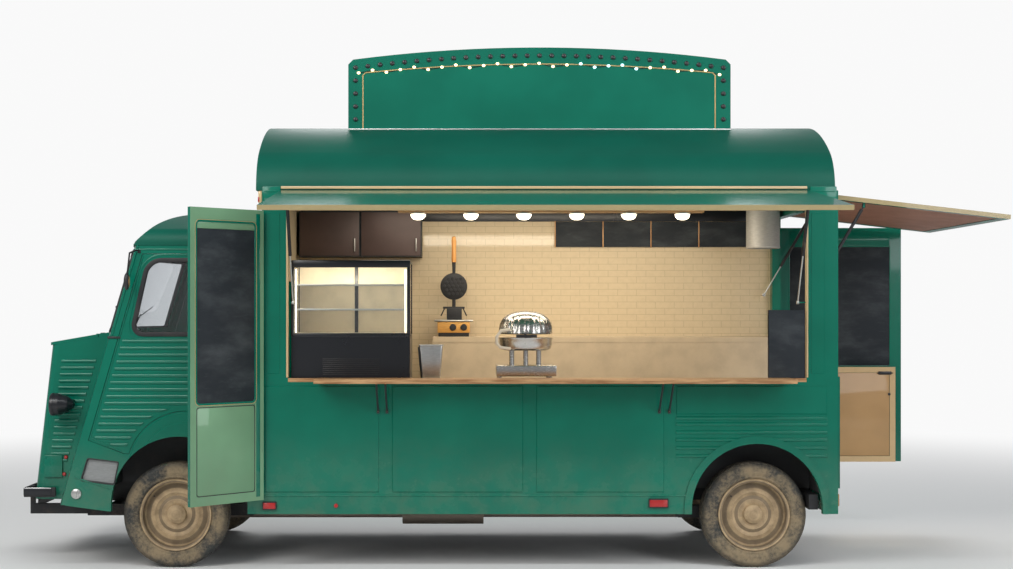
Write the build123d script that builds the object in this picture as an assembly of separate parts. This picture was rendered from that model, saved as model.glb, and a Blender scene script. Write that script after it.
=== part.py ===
from build123d import *
import math
import os

# Food truck on a forward-control van. Lengths in mm. While it is drawn, X counts rearward
# from the front axle, Y is across with the serving side at minus Y, and Z is up from the ground.

# Overall sizes
WHEELBASE = 3896
BODY_HALF = 1000
WALL = 40
FLOOR_Z = 540
SILL_Z = 375
SIDE_IN = BODY_HALF - WALL

# Wheels
TYRE_R = 355
TYRE_HALF = 82
RIM_SEAT_R = 232
WHEEL_Y = BODY_HALF - 183
SPINDLE_R = 30
BORE_GAP = 0.5
HUB_IN = WHEEL_Y - 53
KINGPIN_Y = WHEEL_Y - 127
KINGPIN_R = 22
KINGPIN_Z = (205, 505)
KINGPIN_GAP = 0.3
STEER_DEG = 30

# Cab: a raked, bowed front between flat sides
CAB_REAR_X = 596
GUTTER_Z = 2168
CAB_CROWN_Z = 2428
SHOULDER_Z = GUTTER_Z + 20
SHOULDER_R = 100
SHOULDER_DEG = 22
BROW_Z = (GUTTER_Z + 28, GUTTER_Z + 150)
BROW_BACK = (150, 480)
RAIL_OUT = 7
RAIL_DEPTH = 14
CAB_RAKE = 0.29
CAB_TOP_X = -241
FRONT_BOW = 148
FRONT_SKIN = 30
FRONT_FOOT_Z = 435
CAB_FLOOR_Z = 560
FRONT_ARCH_X = 45
FRONT_ARCH_Z = 437
FRONT_ARCH_R = 455
FLARE_X = 91
FLARE_Z = 664
FLARE_R = 396
FLARE_STEPS = ((8, 6), (72, 12))
DOOR_REAR_X = 455
DOOR_TOP_Z = 2110
DOOR_FRONT_INSET = 60
DOOR_GAP = 3
DOOR_FOOT = ((-760, 941), (-322, 775), (-270, 775))
CAB_DOOR_DEG = 46
# The door's foot swings in over the flare: how far its edge is set back, from which depth
DOOR_RELIEF = ((13, -1), (46, 7))
WINDOW = ((-270, 1575), (-160, 2065), (400, 2065), (400, 1575))
WINDOW_R = 80
GLASS = 6
SCREEN_Z = (1600, 2110)
SCREEN_Y = (32, BODY_HALF - 85)

# Nose and bonnet
NOSE_HALF = 550
NOSE_CORNER_R = 60
NOSE_RIB_INSET = 88
NOSE_SKIN = 25
NOSE_FOOT = (-1055, 420)
NOSE_TOP = (-933, 1491)
BONNET_SLOPE = 0.173
BONNET_REAR_X = -604
BONNET = 20
BONNET_DEG = 60

# Ribs pressed into the sheet metal
RIB_PITCH = 46
RIB_OUT = 8
RIB_HALF = 13
DOOR_RIBS = 17
DOOR_RIB_TOP_Z = 1528
NOSE_RIBS = 16
NOSE_RIB_TOP_Z = 1380
GRILLE_SLOTS = 12
GRILLE_TOP_Z = 1180
GRILLE_HALF = 380
GRILLE_SLOT = 18

# Kitchen body
REAR_FRAME_X = WHEELBASE + 473
REAR_X = REAR_FRAME_X + 67
LID_GAP = 5
WALL_TOP_Z = 2532
REAR_ARCH_Z = 408
REAR_ARCH_R = 436
ARCH_LIP = 50
LIP_OUT = 10
PANEL_OUT = 6
SERVE_X = (770, REAR_FRAME_X - 144)
SERVE_Z = (1255, 2400)
PASS_Y = (-300, 400)
PASS_Z = (CAB_FLOOR_Z, 1950)
REAR_HOLE_HALF = BODY_HALF - 115
REAR_HOLE_Z = (535, 2450)

# Roof: an arch of one crown and two corner arcs
ROOF_X = (556, REAR_X - 20)
ROOF_SKIN = 30
CORNER_R = 319
CROWN_R = 1569.4
CORNER_DEG = 57

# Serving hatch, tailgate and their gas struts
HATCH_X = (729, REAR_FRAME_X - 129)
HATCH_AXIS = (-BODY_HALF - 6, 2505)
HATCH_LEN = 1214
HATCH = 30
HATCH_OPEN_DEG = 81.33
TAIL_AXIS = (REAR_X + LID_GAP, 2480)
TAIL_LEN = 1185
TAIL_HALF = REAR_HOLE_HALF + 20
TAIL_OPEN_DEG = 83.5
STRUT_R = 11
STRUT_ROD_R = 5
HATCH_STRUT_X = (SERVE_X[0] + 30, SERVE_X[1] - 53)
HATCH_PIN = (-BODY_HALF + 25, 1785)
HATCH_PIN_OUT = 310
TAIL_STRUT_Y = REAR_HOLE_HALF - 22
TAIL_PIN = (REAR_X - 136, 1855)
TAIL_PIN_OUT = 203
STRUT_HEAD = 30
STRUT_END = 26
PIN_DROP = 24
PIN_R = 4.7
EYE_HOLE_R = 5
EYE_LEN = 14

# Doors of the rear and the two menu doors
LEAF = 30
REAR_DOOR_Z = (535, 1285)
REAR_DOOR_AXIS = (REAR_X + LID_GAP, REAR_HOLE_HALF + 28)
MENU_FRONT_AXIS = (CAB_REAR_X, -BODY_HALF - 17)
MENU_FRONT_LEN = 582
MENU_FRONT_Z = (475, 2395)
MENU_FRONT_EDGE = (47, 75)
MENU_FRONT_SPLIT = (1110, 1130)
MENU_FRONT_DEG = 44.2
MENU_REAR_AXIS = (REAR_X + LID_GAP, BODY_HALF + 36)
MENU_REAR_LEN = 979
MENU_REAR_Z = (530, 2390)

# Hinges: a pin through a barrel on the leaf and two ears on the body
HINGE_PIN_R = 3
HINGE_GAP = 0.3
HINGE_HALF = 30
EAR = 22
THIN_HINGE_R = 6
HINGE_R = 8
HATCH_HINGE_COUNT = 5
HATCH_HINGE_STEP = (HATCH_X[1] - HATCH_X[0] - 341) / (HATCH_HINGE_COUNT - 1)
HATCH_HINGES = [HATCH_X[0] + 171 + i * HATCH_HINGE_STEP for i in range(HATCH_HINGE_COUNT)]
TAIL_HINGES = (-700, 0, 700)
REAR_DOOR_HINGES = (640, 1180)
MENU_HINGES = (640, 1435, 2230)
CAB_DOOR_HINGES = (1100, 1480)
BONNET_HINGES = (-420, 420)

# Shelf, counters and sign
SHELF_X = (SERVE_X[0] + 195, SERVE_X[1] - 113)
SHELF_Z = (SERVE_Z[0], 1283)
SHELF_STEP = 3
SHELF_OUT_Y = -BODY_HALF - 250
COUNTER_Y = -BODY_HALF + 550
BACK_COUNTER_Y = BODY_HALF - 570
BACK_COUNTER_Z = 1530
SIGN_X = (SERVE_X[0] + 347, SERVE_X[1] - 388)
SIGN_Y = (-310, -190)
SIGN_END_Z = 3517
SIGN_PEAK_Z = 3603
BULB_R = 17

NODES = {}


def block(x, y, z):
    """Box between two values on each axis."""
    size = (x[1] - x[0], y[1] - y[0], z[1] - z[0])
    centre = ((x[0] + x[1]) / 2, (y[0] + y[1]) / 2, (z[0] + z[1]) / 2)
    return Pos(*centre) * Box(*size)


def side_plate(points, y, radius=0):
    """Outline of (x, z) points, thick from y[0] to y[1]."""
    face = make_face(Polyline(*[(px, y[0], pz) for px, pz in points], close=True))
    if radius:
        face = fillet(face.vertices(), radius)
    return extrude(face, amount=y[1] - y[0], dir=(0, 1, 0))


def cross_plate(points, x, radius=0):
    """Outline of (y, z) points, thick from x[0] to x[1]."""
    face = make_face(Polyline(*[(x[0], py, pz) for py, pz in points], close=True))
    if radius:
        face = fillet(face.vertices(), radius)
    return extrude(face, amount=x[1] - x[0], dir=(1, 0, 0))


def floor_plate(points, z):
    """Outline of (x, y) points, thick from z[0] to z[1]."""
    face = make_face(Polyline(*[(px, py, z[0]) for px, py in points], close=True))
    return extrude(face, amount=z[1] - z[0], dir=(0, 0, 1))


def disc(x, z, radius, y):
    """Round across the truck, from y[0] to y[1]."""
    return Pos(x, (y[0] + y[1]) / 2, z) * Rot(90, 0, 0) * Cylinder(radius, y[1] - y[0])


def bar(start, end, radius):
    """Round bar between two points."""
    run = Vector(*end) - Vector(*start)
    plane = Plane(origin=start, z_dir=run)
    return plane * Cylinder(radius, run.length, align=(Align.CENTER, Align.CENTER, Align.MIN))


def other_side(shape):
    """The same shape on the other side of the truck."""
    return mirror(shape, about=Plane.XZ)


def both_sides(shape):
    """A left shape with its mirrored twin."""
    return [shape, other_side(shape)]


def group(*shapes):
    """Solids that share a node without being joined."""
    flat = []
    for shape in shapes:
        flat += shape if isinstance(shape, list) else [shape]
    return Compound(children=[s for shape in flat for s in shape.solids()])


def swung(shape, origin, axis, degrees):
    """A shape turned about an axis through origin."""
    return shape.rotate(Axis(origin, axis), degrees)


def rib(x, z, face_y, out=RIB_OUT, half=RIB_HALF):
    """One pressed rib along X on a left face, round on its crest."""
    foot, crest, head = (x[0], face_y, z - half), (x[0], face_y - out, z), (x[0], face_y, z + half)
    crown = make_face([ThreePointArc(foot, crest, head), Line(head, foot)])
    return extrude(crown, amount=x[1] - x[0], dir=(1, 0, 0))


def raised_panel(x, z, face_y, out=PANEL_OUT, edge=PANEL_OUT):
    """A flat pressed panel standing out of a left face."""
    plate = block(x, (face_y - out, face_y), z)
    rim = plate.faces().sort_by(Axis.Y)[0].edges()
    return chamfer(rim, edge - 0.5)


def hinge_set(at, along, stations, radius, tab):
    """Hinges on one axis: barrels and relief for the moving piece, ears, pin and relief for the fixed one.

    at gives the axis at a station, along is the axis index, tab is the ears' half length.
    """
    moving, fixed, moving_relief, fixed_relief = [], [], [], []

    def rod(start, end, r):
        first, last = list(at), list(at)
        first[along], last[along] = start, end
        return bar(tuple(first), tuple(last), r)
    for s in stations:
        edge = s - HINGE_HALF
        end = s + HINGE_HALF
        moving.append(rod(edge, end, radius) - rod(edge - 1, end + 1, HINGE_PIN_R + HINGE_GAP))
        fixed.append(rod(edge - tab, end + tab, HINGE_PIN_R))
        fixed.append(rod(edge - tab, edge - 0.5, radius) + rod(end + 0.5, end + tab, radius))
        fixed_relief.append(rod(edge - 0.5, end + 0.5, radius + 2.5))
        moving_relief.append(rod(edge - tab - 1, edge, radius + 2.5) + rod(end, end + tab + 1, radius + 2.5))
        moving_relief.append(rod(edge - 1, end + 1, HINGE_PIN_R + HINGE_GAP))
    return moving, fixed, moving_relief, fixed_relief


def ears(stations, tab):
    """Spans of the fixed ears beside each barrel."""
    spans = []
    for s in stations:
        spans += [(s - HINGE_HALF - tab, s - HINGE_HALF - 0.5), (s + HINGE_HALF + 0.5, s + HINGE_HALF + tab)]
    return spans


def fitted(piece, adds, cuts):
    """A piece with hinge parts joined after its reliefs are cut."""
    for cut in cuts:
        piece = piece - cut
    for add in adds:
        piece = piece + add
    return piece


def front_x(z):
    """Front edge of the cab's side at a height."""
    return CAB_TOP_X - CAB_RAKE * (GUTTER_Z - z)


def bowed(start, depth, z, half=BODY_HALF):
    """Raked layer of the bowed front: start behind its face, depth thick."""
    low = front_x(z[0]) + start
    bow = FRONT_BOW * (half / BODY_HALF) ** 2
    side = low - FRONT_BOW + bow
    apex = low - FRONT_BOW
    outer = ThreePointArc((side, -half, z[0]), (apex, 0, z[0]), (side, half, z[0]))
    inner = ThreePointArc((side + depth, half, z[0]), (apex + depth, 0, z[0]), (side + depth, -half, z[0]))
    ends = [Line(outer @ 1, inner @ 0), Line(inner @ 1, outer @ 0)]
    face = make_face([outer, ends[0], inner, ends[1]])
    run = (z[1] - z[0]) * math.hypot(1, CAB_RAKE)
    return extrude(face, amount=run, dir=(CAB_RAKE, 0, 1))


def turned(points, y, side):
    """Profile of (radius, outward) points turned about the wheel axis at y."""
    face = make_face(Polyline(*[(r, 0, a) for r, a in points], close=True))
    solid = revolve(face, axis=Axis.Z)
    tilt = 90 if side < 0 else -90
    return Pos(0, y, TYRE_R) * Rot(tilt, 0, 0) * solid


# Chassis, running gear and tanks
RAIL_Y = (350, 430)
RAIL_Z = (400, 500)
CROSS_X = (700, 1500, 2300, 3100, REAR_FRAME_X - 119)
EXHAUST = (-200, 270)
ENGINE_FOOT_Z = 370
DRUM_R = 110
ARM_LENGTH = 446
ARM_Z = 352


def chassis():
    rail = block((470, REAR_FRAME_X), RAIL_Y, RAIL_Z)
    frame = rail + other_side(rail)
    for x in CROSS_X:
        frame += block((x, x + 60), (-SIDE_IN, SIDE_IN), RAIL_Z)
    return frame


def king_bore(radius):
    low, high = KINGPIN_Z
    return bar((0, -KINGPIN_Y, low), (0, -KINGPIN_Y, high), radius)


def front_subframe():
    leg = block((-690, 470), (430, 500), (300, 380))
    frame = leg + other_side(leg)
    for x in (-560, 230):
        frame += block((x, x + 70), (-430, 430), (310, 370))
    frame += block((400, 470), (-500, 500), (380, 500))
    tip = KINGPIN_Y + 36
    for low in (KINGPIN_Z[0], KINGPIN_Z[1] - 24):
        arm = floor_plate(((-150, -460), (150, -460), (38, -tip), (-38, -tip)), (low, low + 24))
        arm -= king_bore(KINGPIN_R + KINGPIN_GAP)
        frame += arm + other_side(arm)
    for x in (-140, 110):
        tower = block((x, x + 30), (450, 500), (205, 505))
        frame += tower + other_side(tower)
    hanger = block((-690, -640), (430, 500), (380, 520))
    return frame + hanger + other_side(hanger)


def engine():
    return block((-600, 220), (-230, 230), (ENGINE_FOOT_Z, 950))


def rear_axle():
    x = WHEELBASE - ARM_LENGTH
    reach = HUB_IN - 104
    tube = disc(x, ARM_Z, 48, (-reach, reach))
    hub = WHEELBASE
    tip = ((x - 50, 312), (x - 50, 392), (hub - 36, 400), (hub + 44, TYRE_R), (hub - 36, 310))
    arm = side_plate(tip, (-reach - 40, -reach + 20), 12)
    stub = disc(WHEELBASE, TYRE_R, SPINDLE_R, (-(WHEEL_Y + 44), -reach - 30))
    drum = disc(WHEELBASE, TYRE_R, DRUM_R, (-HUB_IN, -reach - 40))
    corner = arm + stub + drum
    axle = tube + corner + other_side(corner)
    foot = block((x - 40, x + 40), RAIL_Y, (ARM_Z, RAIL_Z[0]))
    return axle + foot + other_side(foot)


def fuel_tank():
    tank = block((1700, 2250), (RAIL_Y[1] + 10, SIDE_IN - 60), (250, 400))
    tank = fillet(tank.edges().filter_by(Axis.X), 40)
    for x in (1800, 2100):
        for y in (RAIL_Y[1] + 40, SIDE_IN - 110):
            tank += block((x, x + 40), (y, y + 20), (380, RAIL_Z[1]))
    return tank


def exhaust():
    y, z = EXHAUST
    pipe = bar((160, y, z), (1500, y, z), 24)
    box = bar((1500, y, z), (2080, y, z), 70)
    tail = bar((2080, y, z), (REAR_FRAME_X - 39, y, z), 22)
    elbow = bar((184, y, z), (184, y, ENGINE_FOOT_Z), 24)
    whole = pipe + box + tail + elbow
    for x in (CROSS_X[1] + 20, CROSS_X[2] + 10, CROSS_X[4] + 5):
        whole += block((x, x + 20), (y - 10, y + 10), (z, RAIL_Z[0]))
    return whole


def knuckle(side):
    spindle = disc(0, TYRE_R, SPINDLE_R, (-(WHEEL_Y + 44), -KINGPIN_Y))
    drum = disc(0, TYRE_R, DRUM_R, (-HUB_IN, -HUB_IN + 32))
    whole = king_bore(KINGPIN_R) + spindle + drum
    return whole if side < 0 else other_side(whole)


RIM_PROFILE = (
    (SPINDLE_R + BORE_GAP, -45), (75, -45), (75, 5), (101, 18), (125, 8), (148, 20), (175, 10), (205, 2),
    (222, 2), (222, -72), (240, -78), (242, -70), (RIM_SEAT_R, -66), (RIM_SEAT_R, 66), (242, 70), (240, 78),
    (222, 72), (222, 14), (205, 14), (175, 22), (148, 32), (125, 20), (101, 30), (67, 26), (62, 48),
    (40, 60), (0, 64), (0, 48), (SPINDLE_R + BORE_GAP, 48),
)
TYRE_PROFILE = (
    (RIM_SEAT_R, -60), (RIM_SEAT_R, 60), (248, 72), (300, TYRE_HALF), (335, 78), (TYRE_R, 58),
    (TYRE_R, -58), (335, -78), (300, -TYRE_HALF), (248, -72),
)


# Cab
def cab_outline():
    points = (
        (front_x(FRONT_FOOT_Z), FRONT_FOOT_Z), (front_x(GUTTER_Z), GUTTER_Z), (CAB_REAR_X, GUTTER_Z),
        (CAB_REAR_X, SILL_Z), (430, SILL_Z), (-430, 393),
    )
    return side_plate(points, (-BODY_HALF, -SIDE_IN))


def front_arch(grow=0):
    """The wheel's cut in the side: a round over a straight drop."""
    radius = FRONT_ARCH_R + grow
    y = (-BODY_HALF - 60, -SIDE_IN + 60)
    drop = block((FRONT_ARCH_X - radius, FRONT_ARCH_X + radius), y, (0, FRONT_ARCH_Z))
    return disc(FRONT_ARCH_X, FRONT_ARCH_Z, radius, y) + drop


def wing_region(grow=0):
    """What lies below the door: the foot line and the flare's round."""
    y = (-BODY_HALF - 60, -SIDE_IN + 60)
    foot = [(x, z + grow) for x, z in DOOR_FOOT]
    low = side_plate(foot + [(-270, 200), (-760, 200)], y)
    rear = block((-270, FLARE_X + FLARE_R + grow), y, (200, FLARE_Z))
    return low + disc(FLARE_X, FLARE_Z, FLARE_R + grow, y) + rear


def wing():
    panel = cab_outline() & wing_region()
    brow = None
    for inset, out in FLARE_STEPS:
        layer = disc(FLARE_X, FLARE_Z, FLARE_R - inset, (-BODY_HALF - out, -BODY_HALF))
        rim = layer.faces().sort_by(Axis.Y)[0].edges()
        layer = chamfer(rim, 5)
        brow = layer if brow is None else brow + layer
    brow -= block((-900, 900), (-BODY_HALF - 60, -SIDE_IN), (0, 560))
    panel = (panel + brow) - front_arch() - bowed(-5, FRONT_SKIN + 5, (100, GUTTER_Z))
    step = ((-610, 600), (-566, 745), (-360, 720), (-390, 572))
    return panel - side_plate(step, (-BODY_HALF - 20, -BODY_HALF + 18), 15)


def door_outline(grow):
    """The door's plate, grown on every edge."""
    front = DOOR_FRONT_INSET - grow
    top = DOOR_TOP_Z - DOOR_GAP + grow
    rear = DOOR_REAR_X - DOOR_GAP + grow
    points = ((front_x(700) + front, 700), (front_x(top) + front, top), (rear, top), (rear, 700))
    return side_plate(points, (-BODY_HALF, -SIDE_IN)) - wing_region(DOOR_GAP - grow)


def door_plate():
    """The door's plate, its edge set back where it swings over the flare."""
    plate = door_outline(0)
    for shift, depth in DOOR_RELIEF:
        plate -= disc(FLARE_X + shift, FLARE_Z, FLARE_R + DOOR_GAP, (depth - BODY_HALF, -SIDE_IN + 5))
    return plate


CAB_DOOR_AXIS = (DOOR_REAR_X + 2, -BODY_HALF - 12, 0)


def cab_side():
    panel = cab_outline() - door_outline(DOOR_GAP + 1) - wing_region() - front_arch()
    panel -= bowed(-5, FRONT_SKIN + 5, (100, GUTTER_Z + 50))
    sets = hinge_set(CAB_DOOR_AXIS, 2, CAB_DOOR_HINGES, HINGE_R, EAR)
    x, y = CAB_DOOR_AXIS[0], CAB_DOOR_AXIS[1]
    tabs = [block((x, x + 30), (y, -BODY_HALF), z) for z in ears(CAB_DOOR_HINGES, EAR)]
    return fitted(panel, sets[1] + tabs, sets[3])


def cab_door():
    leaf = door_plate()
    ribs = []
    for i in range(DOOR_RIBS):
        z = DOOR_RIB_TOP_Z - i * RIB_PITCH
        ribs.append(rib((front_x(z) + DOOR_FRONT_INSET + 35, 425), z, -BODY_HALF))
    trim = wing_region(34)
    for one in ribs:
        cut = one - trim
        if cut.solids():
            leaf += cut
    hole = side_plate(WINDOW, (-BODY_HALF - 5, -SIDE_IN + 5), WINDOW_R)
    sets = hinge_set(CAB_DOOR_AXIS, 2, CAB_DOOR_HINGES, HINGE_R, EAR)
    x, y = CAB_DOOR_AXIS[0], CAB_DOOR_AXIS[1]
    bore = HINGE_PIN_R + HINGE_GAP
    straps = [block((x - 60, x - bore - 1), (y - 2, -BODY_HALF), (z - HINGE_HALF, z + HINGE_HALF))
              for z in CAB_DOOR_HINGES]
    return fitted(leaf - hole, sets[0] + straps, sets[2])


def door_glass():
    return side_plate(WINDOW, (15 - BODY_HALF, 15 + GLASS - BODY_HALF), WINDOW_R)


def cab_front():
    skin = bowed(0, FRONT_SKIN, (FRONT_FOOT_Z, GUTTER_Z))
    pane = block((-900, 100), SCREEN_Y, SCREEN_Z)
    skin -= pane + other_side(pane)
    return skin - block((-1000, 0), (-400, 400), (0, 1040))


def windscreen():
    layer = bowed(12, GLASS, (FRONT_FOOT_Z, GUTTER_Z))
    pane = block((-900, 100), SCREEN_Y, SCREEN_Z)
    left = layer & other_side(pane)
    return group(left, layer & pane)


def cab_dome(inset):
    """Outside of the cab's roof, or its inside where inset is the skin."""
    half = BODY_HALF - inset
    radius = SHOULDER_R - inset
    middle = BODY_HALF - SHOULDER_R
    turn = math.radians(SHOULDER_DEG)
    lean = (math.pi / 2 - turn) / 2
    front = -CAB_REAR_X
    bend = (middle + radius * math.cos(lean), SHOULDER_Z + radius * math.sin(lean))
    knee = (middle + radius * math.sin(turn), SHOULDER_Z + radius * math.cos(turn))

    def at(point, side):
        return (front, side * point[0], point[1])
    foot, hip = (half, GUTTER_Z), (half, SHOULDER_Z)
    arch = make_face([
        Line(at(foot, -1), at(hip, -1)),
        ThreePointArc(at(hip, -1), at(bend, -1), at(knee, -1)),
        ThreePointArc(at(knee, -1), (front, 0, CAB_CROWN_Z - inset), at(knee, 1)),
        ThreePointArc(at(knee, 1), at(bend, 1), at(hip, 1)),
        Line(at(hip, 1), at(foot, 1)),
        Line(at(foot, 1), at(foot, -1)),
    ])
    tip = CAB_TOP_X - FRONT_BOW
    centre = tip + (BODY_HALF ** 2 + FRONT_BOW ** 2) / (2 * FRONT_BOW)
    edge = tip + inset
    low, mid, top = BROW_Z[0] - inset / 2, BROW_Z[1] - inset, CAB_CROWN_Z + 5 - inset
    brow = make_face([
        Line((centre, 0, GUTTER_Z), (edge, 0, GUTTER_Z)),
        Line((edge, 0, GUTTER_Z), (edge, 0, low)),
        ThreePointArc((edge, 0, low), (edge + BROW_BACK[0], 0, mid), (edge + BROW_BACK[1], 0, top)),
        Line((edge + BROW_BACK[1], 0, top), (centre, 0, top)),
        Line((centre, 0, top), (centre, 0, GUTTER_Z)),
    ])
    bowl = revolve(brow, axis=Axis((centre, 0, 0), (0, 0, 1)))
    return extrude(arch, amount=2 * CAB_REAR_X, dir=(1, 0, 0)) & bowl


def cab_plan(out):
    """The cab's outline at its gutter, moved out and thick as the drip rail."""
    side = BODY_HALF + out
    corner = CAB_TOP_X - out
    z = GUTTER_Z
    face = make_face([
        ThreePointArc((corner, -side, z), (CAB_TOP_X - FRONT_BOW - out, 0, z), (corner, side, z)),
        Line((corner, side, z), (CAB_REAR_X, side, z)),
        Line((CAB_REAR_X, side, z), (CAB_REAR_X, -side, z)),
        Line((CAB_REAR_X, -side, z), (corner, -side, z)),
    ])
    return extrude(face, amount=RAIL_DEPTH, dir=(0, 0, 1))


def cab_roof():
    rail = cab_plan(RAIL_OUT) - cab_plan(-FRONT_SKIN / 2)
    return cab_dome(0) - cab_dome(FRONT_SKIN) + rail


def cab_floor():
    front = -700
    floor = block((front, CAB_REAR_X), (-SIDE_IN, SIDE_IN), (CAB_FLOOR_Z - 20, CAB_FLOOR_Z))
    well_x = (FRONT_ARCH_X - FRONT_ARCH_R - 45, FRONT_ARCH_X + FRONT_ARCH_R + 10)
    inner = BODY_HALF - 485
    well = block(well_x, (inner, SIDE_IN), (CAB_FLOOR_Z - 20, WELL_TOP_Z))
    hollow_x = (well_x[0] + 15, well_x[1] - 15)
    hollow = block(hollow_x, (inner + 15, SIDE_IN + 1), (CAB_FLOOR_Z - 60, WELL_TOP_Z - 15))
    tunnel = block((-740, 380), (-400, 400), (CAB_FLOOR_Z - 20, 1040))
    bay = block((-800, 365), (-385, 385), (CAB_FLOOR_Z - 60, 1025))
    floor = floor + well + other_side(well) + tunnel
    floor = floor - hollow - other_side(hollow) - bay
    outside = bowed(-900, 900 + FRONT_SKIN, (300, GUTTER_Z))
    return floor - outside


def nose_front_x(z):
    slope = (NOSE_TOP[0] - NOSE_FOOT[0]) / (NOSE_TOP[1] - NOSE_FOOT[1])
    return NOSE_FOOT[0] + slope * (z - NOSE_FOOT[1])


def front_corners(shape):
    """The two foremost edges that rise at the sides."""
    sides = [e for e in shape.edges() if abs(e.center().Y) > NOSE_HALF - 1]
    return sorted(sides, key=lambda e: e.center().X)[:2]


def nose():
    rear = -200
    top = NOSE_TOP[1] + BONNET_SLOPE * (rear - NOSE_TOP[0])
    outline = (NOSE_FOOT, NOSE_TOP, (rear, top), (rear, NOSE_FOOT[1]))
    shell = side_plate(outline, (-NOSE_HALF, NOSE_HALF))
    shell = fillet(front_corners(shell), NOSE_CORNER_R)
    skin = NOSE_SKIN
    low, high, back = 300, 1700, rear + 50
    inner = ((nose_front_x(low) + skin, low), (nose_front_x(high) + skin, high), (back, high), (back, low))
    cut = side_plate(inner, (-NOSE_HALF + skin, NOSE_HALF - skin))
    shell -= cut
    lid_z = NOSE_TOP[1] + BONNET_SLOPE * (BONNET_REAR_X - NOSE_TOP[0])
    cowl = ((BONNET_REAR_X + 4, lid_z - 20), (BONNET_REAR_X + 4, lid_z + BONNET),
            (rear, top + BONNET), (rear, top - 20))
    shell += side_plate(cowl, (-NOSE_HALF, NOSE_HALF))
    for i in range(NOSE_RIBS):
        z = NOSE_RIB_TOP_Z - i * RIB_PITCH
        one = rib((nose_front_x(z) + NOSE_RIB_INSET, front_x(z) - 150), z, -NOSE_HALF)
        shell += one + other_side(one)
    for i in range(GRILLE_SLOTS):
        z = GRILLE_TOP_Z - i * RIB_PITCH
        x = nose_front_x(z)
        shell -= block((x - 30, x + 60), (-GRILLE_HALF, GRILLE_HALF), (z, z + GRILLE_SLOT))
    sets = hinge_set(bonnet_axis(), 1, BONNET_HINGES, THIN_HINGE_R, EAR)
    x, z = bonnet_axis()[0], bonnet_axis()[2]
    tabs = [block((x, x + 30), y, (z - 12, z + 1)) for y in ears(BONNET_HINGES, EAR)]
    return fitted(shell, sets[1] + tabs, sets[3]) - bowed(0, 1500, (300, GUTTER_Z))


def bonnet_axis():
    return (BONNET_REAR_X + 2, 0, NOSE_TOP[1] + BONNET_SLOPE * (BONNET_REAR_X - NOSE_TOP[0]) + BONNET + 2)


def bonnet():
    x0 = NOSE_TOP[0] - 14
    z0 = NOSE_TOP[1] - 14 * BONNET_SLOPE
    z1 = NOSE_TOP[1] + BONNET_SLOPE * (BONNET_REAR_X - NOSE_TOP[0])
    points = ((x0, z0 + 0.5), (x0, z0 + BONNET), (BONNET_REAR_X, z1 + BONNET), (BONNET_REAR_X, z1 + 0.5))
    lid = side_plate(points, (-NOSE_HALF, NOSE_HALF))
    lid = fillet(front_corners(lid), NOSE_CORNER_R)
    sets = hinge_set(bonnet_axis(), 1, BONNET_HINGES, THIN_HINGE_R, EAR)
    x, z = bonnet_axis()[0], bonnet_axis()[2]
    bore = HINGE_PIN_R + HINGE_GAP
    spans = [(y - HINGE_HALF, y + HINGE_HALF) for y in BONNET_HINGES]
    tabs = [block((x - 40, x - bore - 1), span, (z - 12, z - 1)) for span in spans]
    return fitted(lid, sets[0] + tabs, sets[2])


LAMP = (-898, -655, 1085)


def headlamp():
    x, y, z = LAMP
    profile = ((0, 0), (0, 52), (7, 72), (22, 77), (55, 74), (115, 52), (150, 24), (160, 0))
    face = make_face(Polyline(*[(x + a, y, z + r) for a, r in profile], close=True))
    bowl = revolve(face, axis=Axis((x, y, z), (1, 0, 0)))
    stalk = block((x + 60, x + 130), (y + 20, -NOSE_HALF), (z - 30, z + 30))
    return (bowl + stalk) - block((-1200, -500), (-NOSE_HALF - RIB_OUT, -NOSE_HALF + 300), (0, 3000))


def bumper():
    front = NOSE_FOOT[0] - 52
    blade = block((front, front + 12), (-600, 600), (440, 505))
    end = block((front, front + 215), (-600, -588), (440, 505))
    blade += end + other_side(end)
    for y in (-480, 440):
        blade += block((front + 12, -690), (y, y + 40), (310, 380))
        blade += block((front + 12, front + 40), (y, y + 40), (310, 505))
    return blade + block((front - 3, front + 3), (-240, 240), (330, 450))


def dashboard():
    beam = block((-620, -220), (-SIDE_IN, SIDE_IN), (1400, 1470))
    beam += block((-330, -220), (-760, -430), (1300, 1400))
    beam -= bowed(-900, 900 + FRONT_SKIN, (300, GUTTER_Z))
    hub = Plane(origin=(-20, -600, 1330), z_dir=(0.55, 0, 0.835))
    ring = hub * Torus(200, 13)
    wheel = ring + hub * Cylinder(45, 30)
    for angle in (90, 210, 330):
        wheel += hub * Rot(0, 0, angle) * Pos(110, 0, 0) * Box(180, 26, 10)
    column = bar((-20, -600, 1330), (-140, -600, 1148), 22)
    return beam + wheel + column + block((-235, -40), (-612, -588), (1290, 1320))


SEATS_Y = (-700, 700)
SEAT_HALF = 215
WELL_TOP_Z = 905


def seats():
    parts = []
    for y in SEATS_Y:
        cushion = block((-80, 380), (y - SEAT_HALF, y + SEAT_HALF), (WELL_TOP_Z, WELL_TOP_Z + 115))
        back = block((0, 70), (y - SEAT_HALF, y + SEAT_HALF), (0, 590))
        cushion = fillet(cushion.edges().filter_by(Axis.Z), 25)
        back = fillet(back.edges().sort_by(Axis.Z)[-4:], 20)
        back = Pos(386, 0, WELL_TOP_Z + 13.7) * Rot(0, 11, 0) * back
        parts += [cushion, back]
    return group(*parts)


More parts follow.
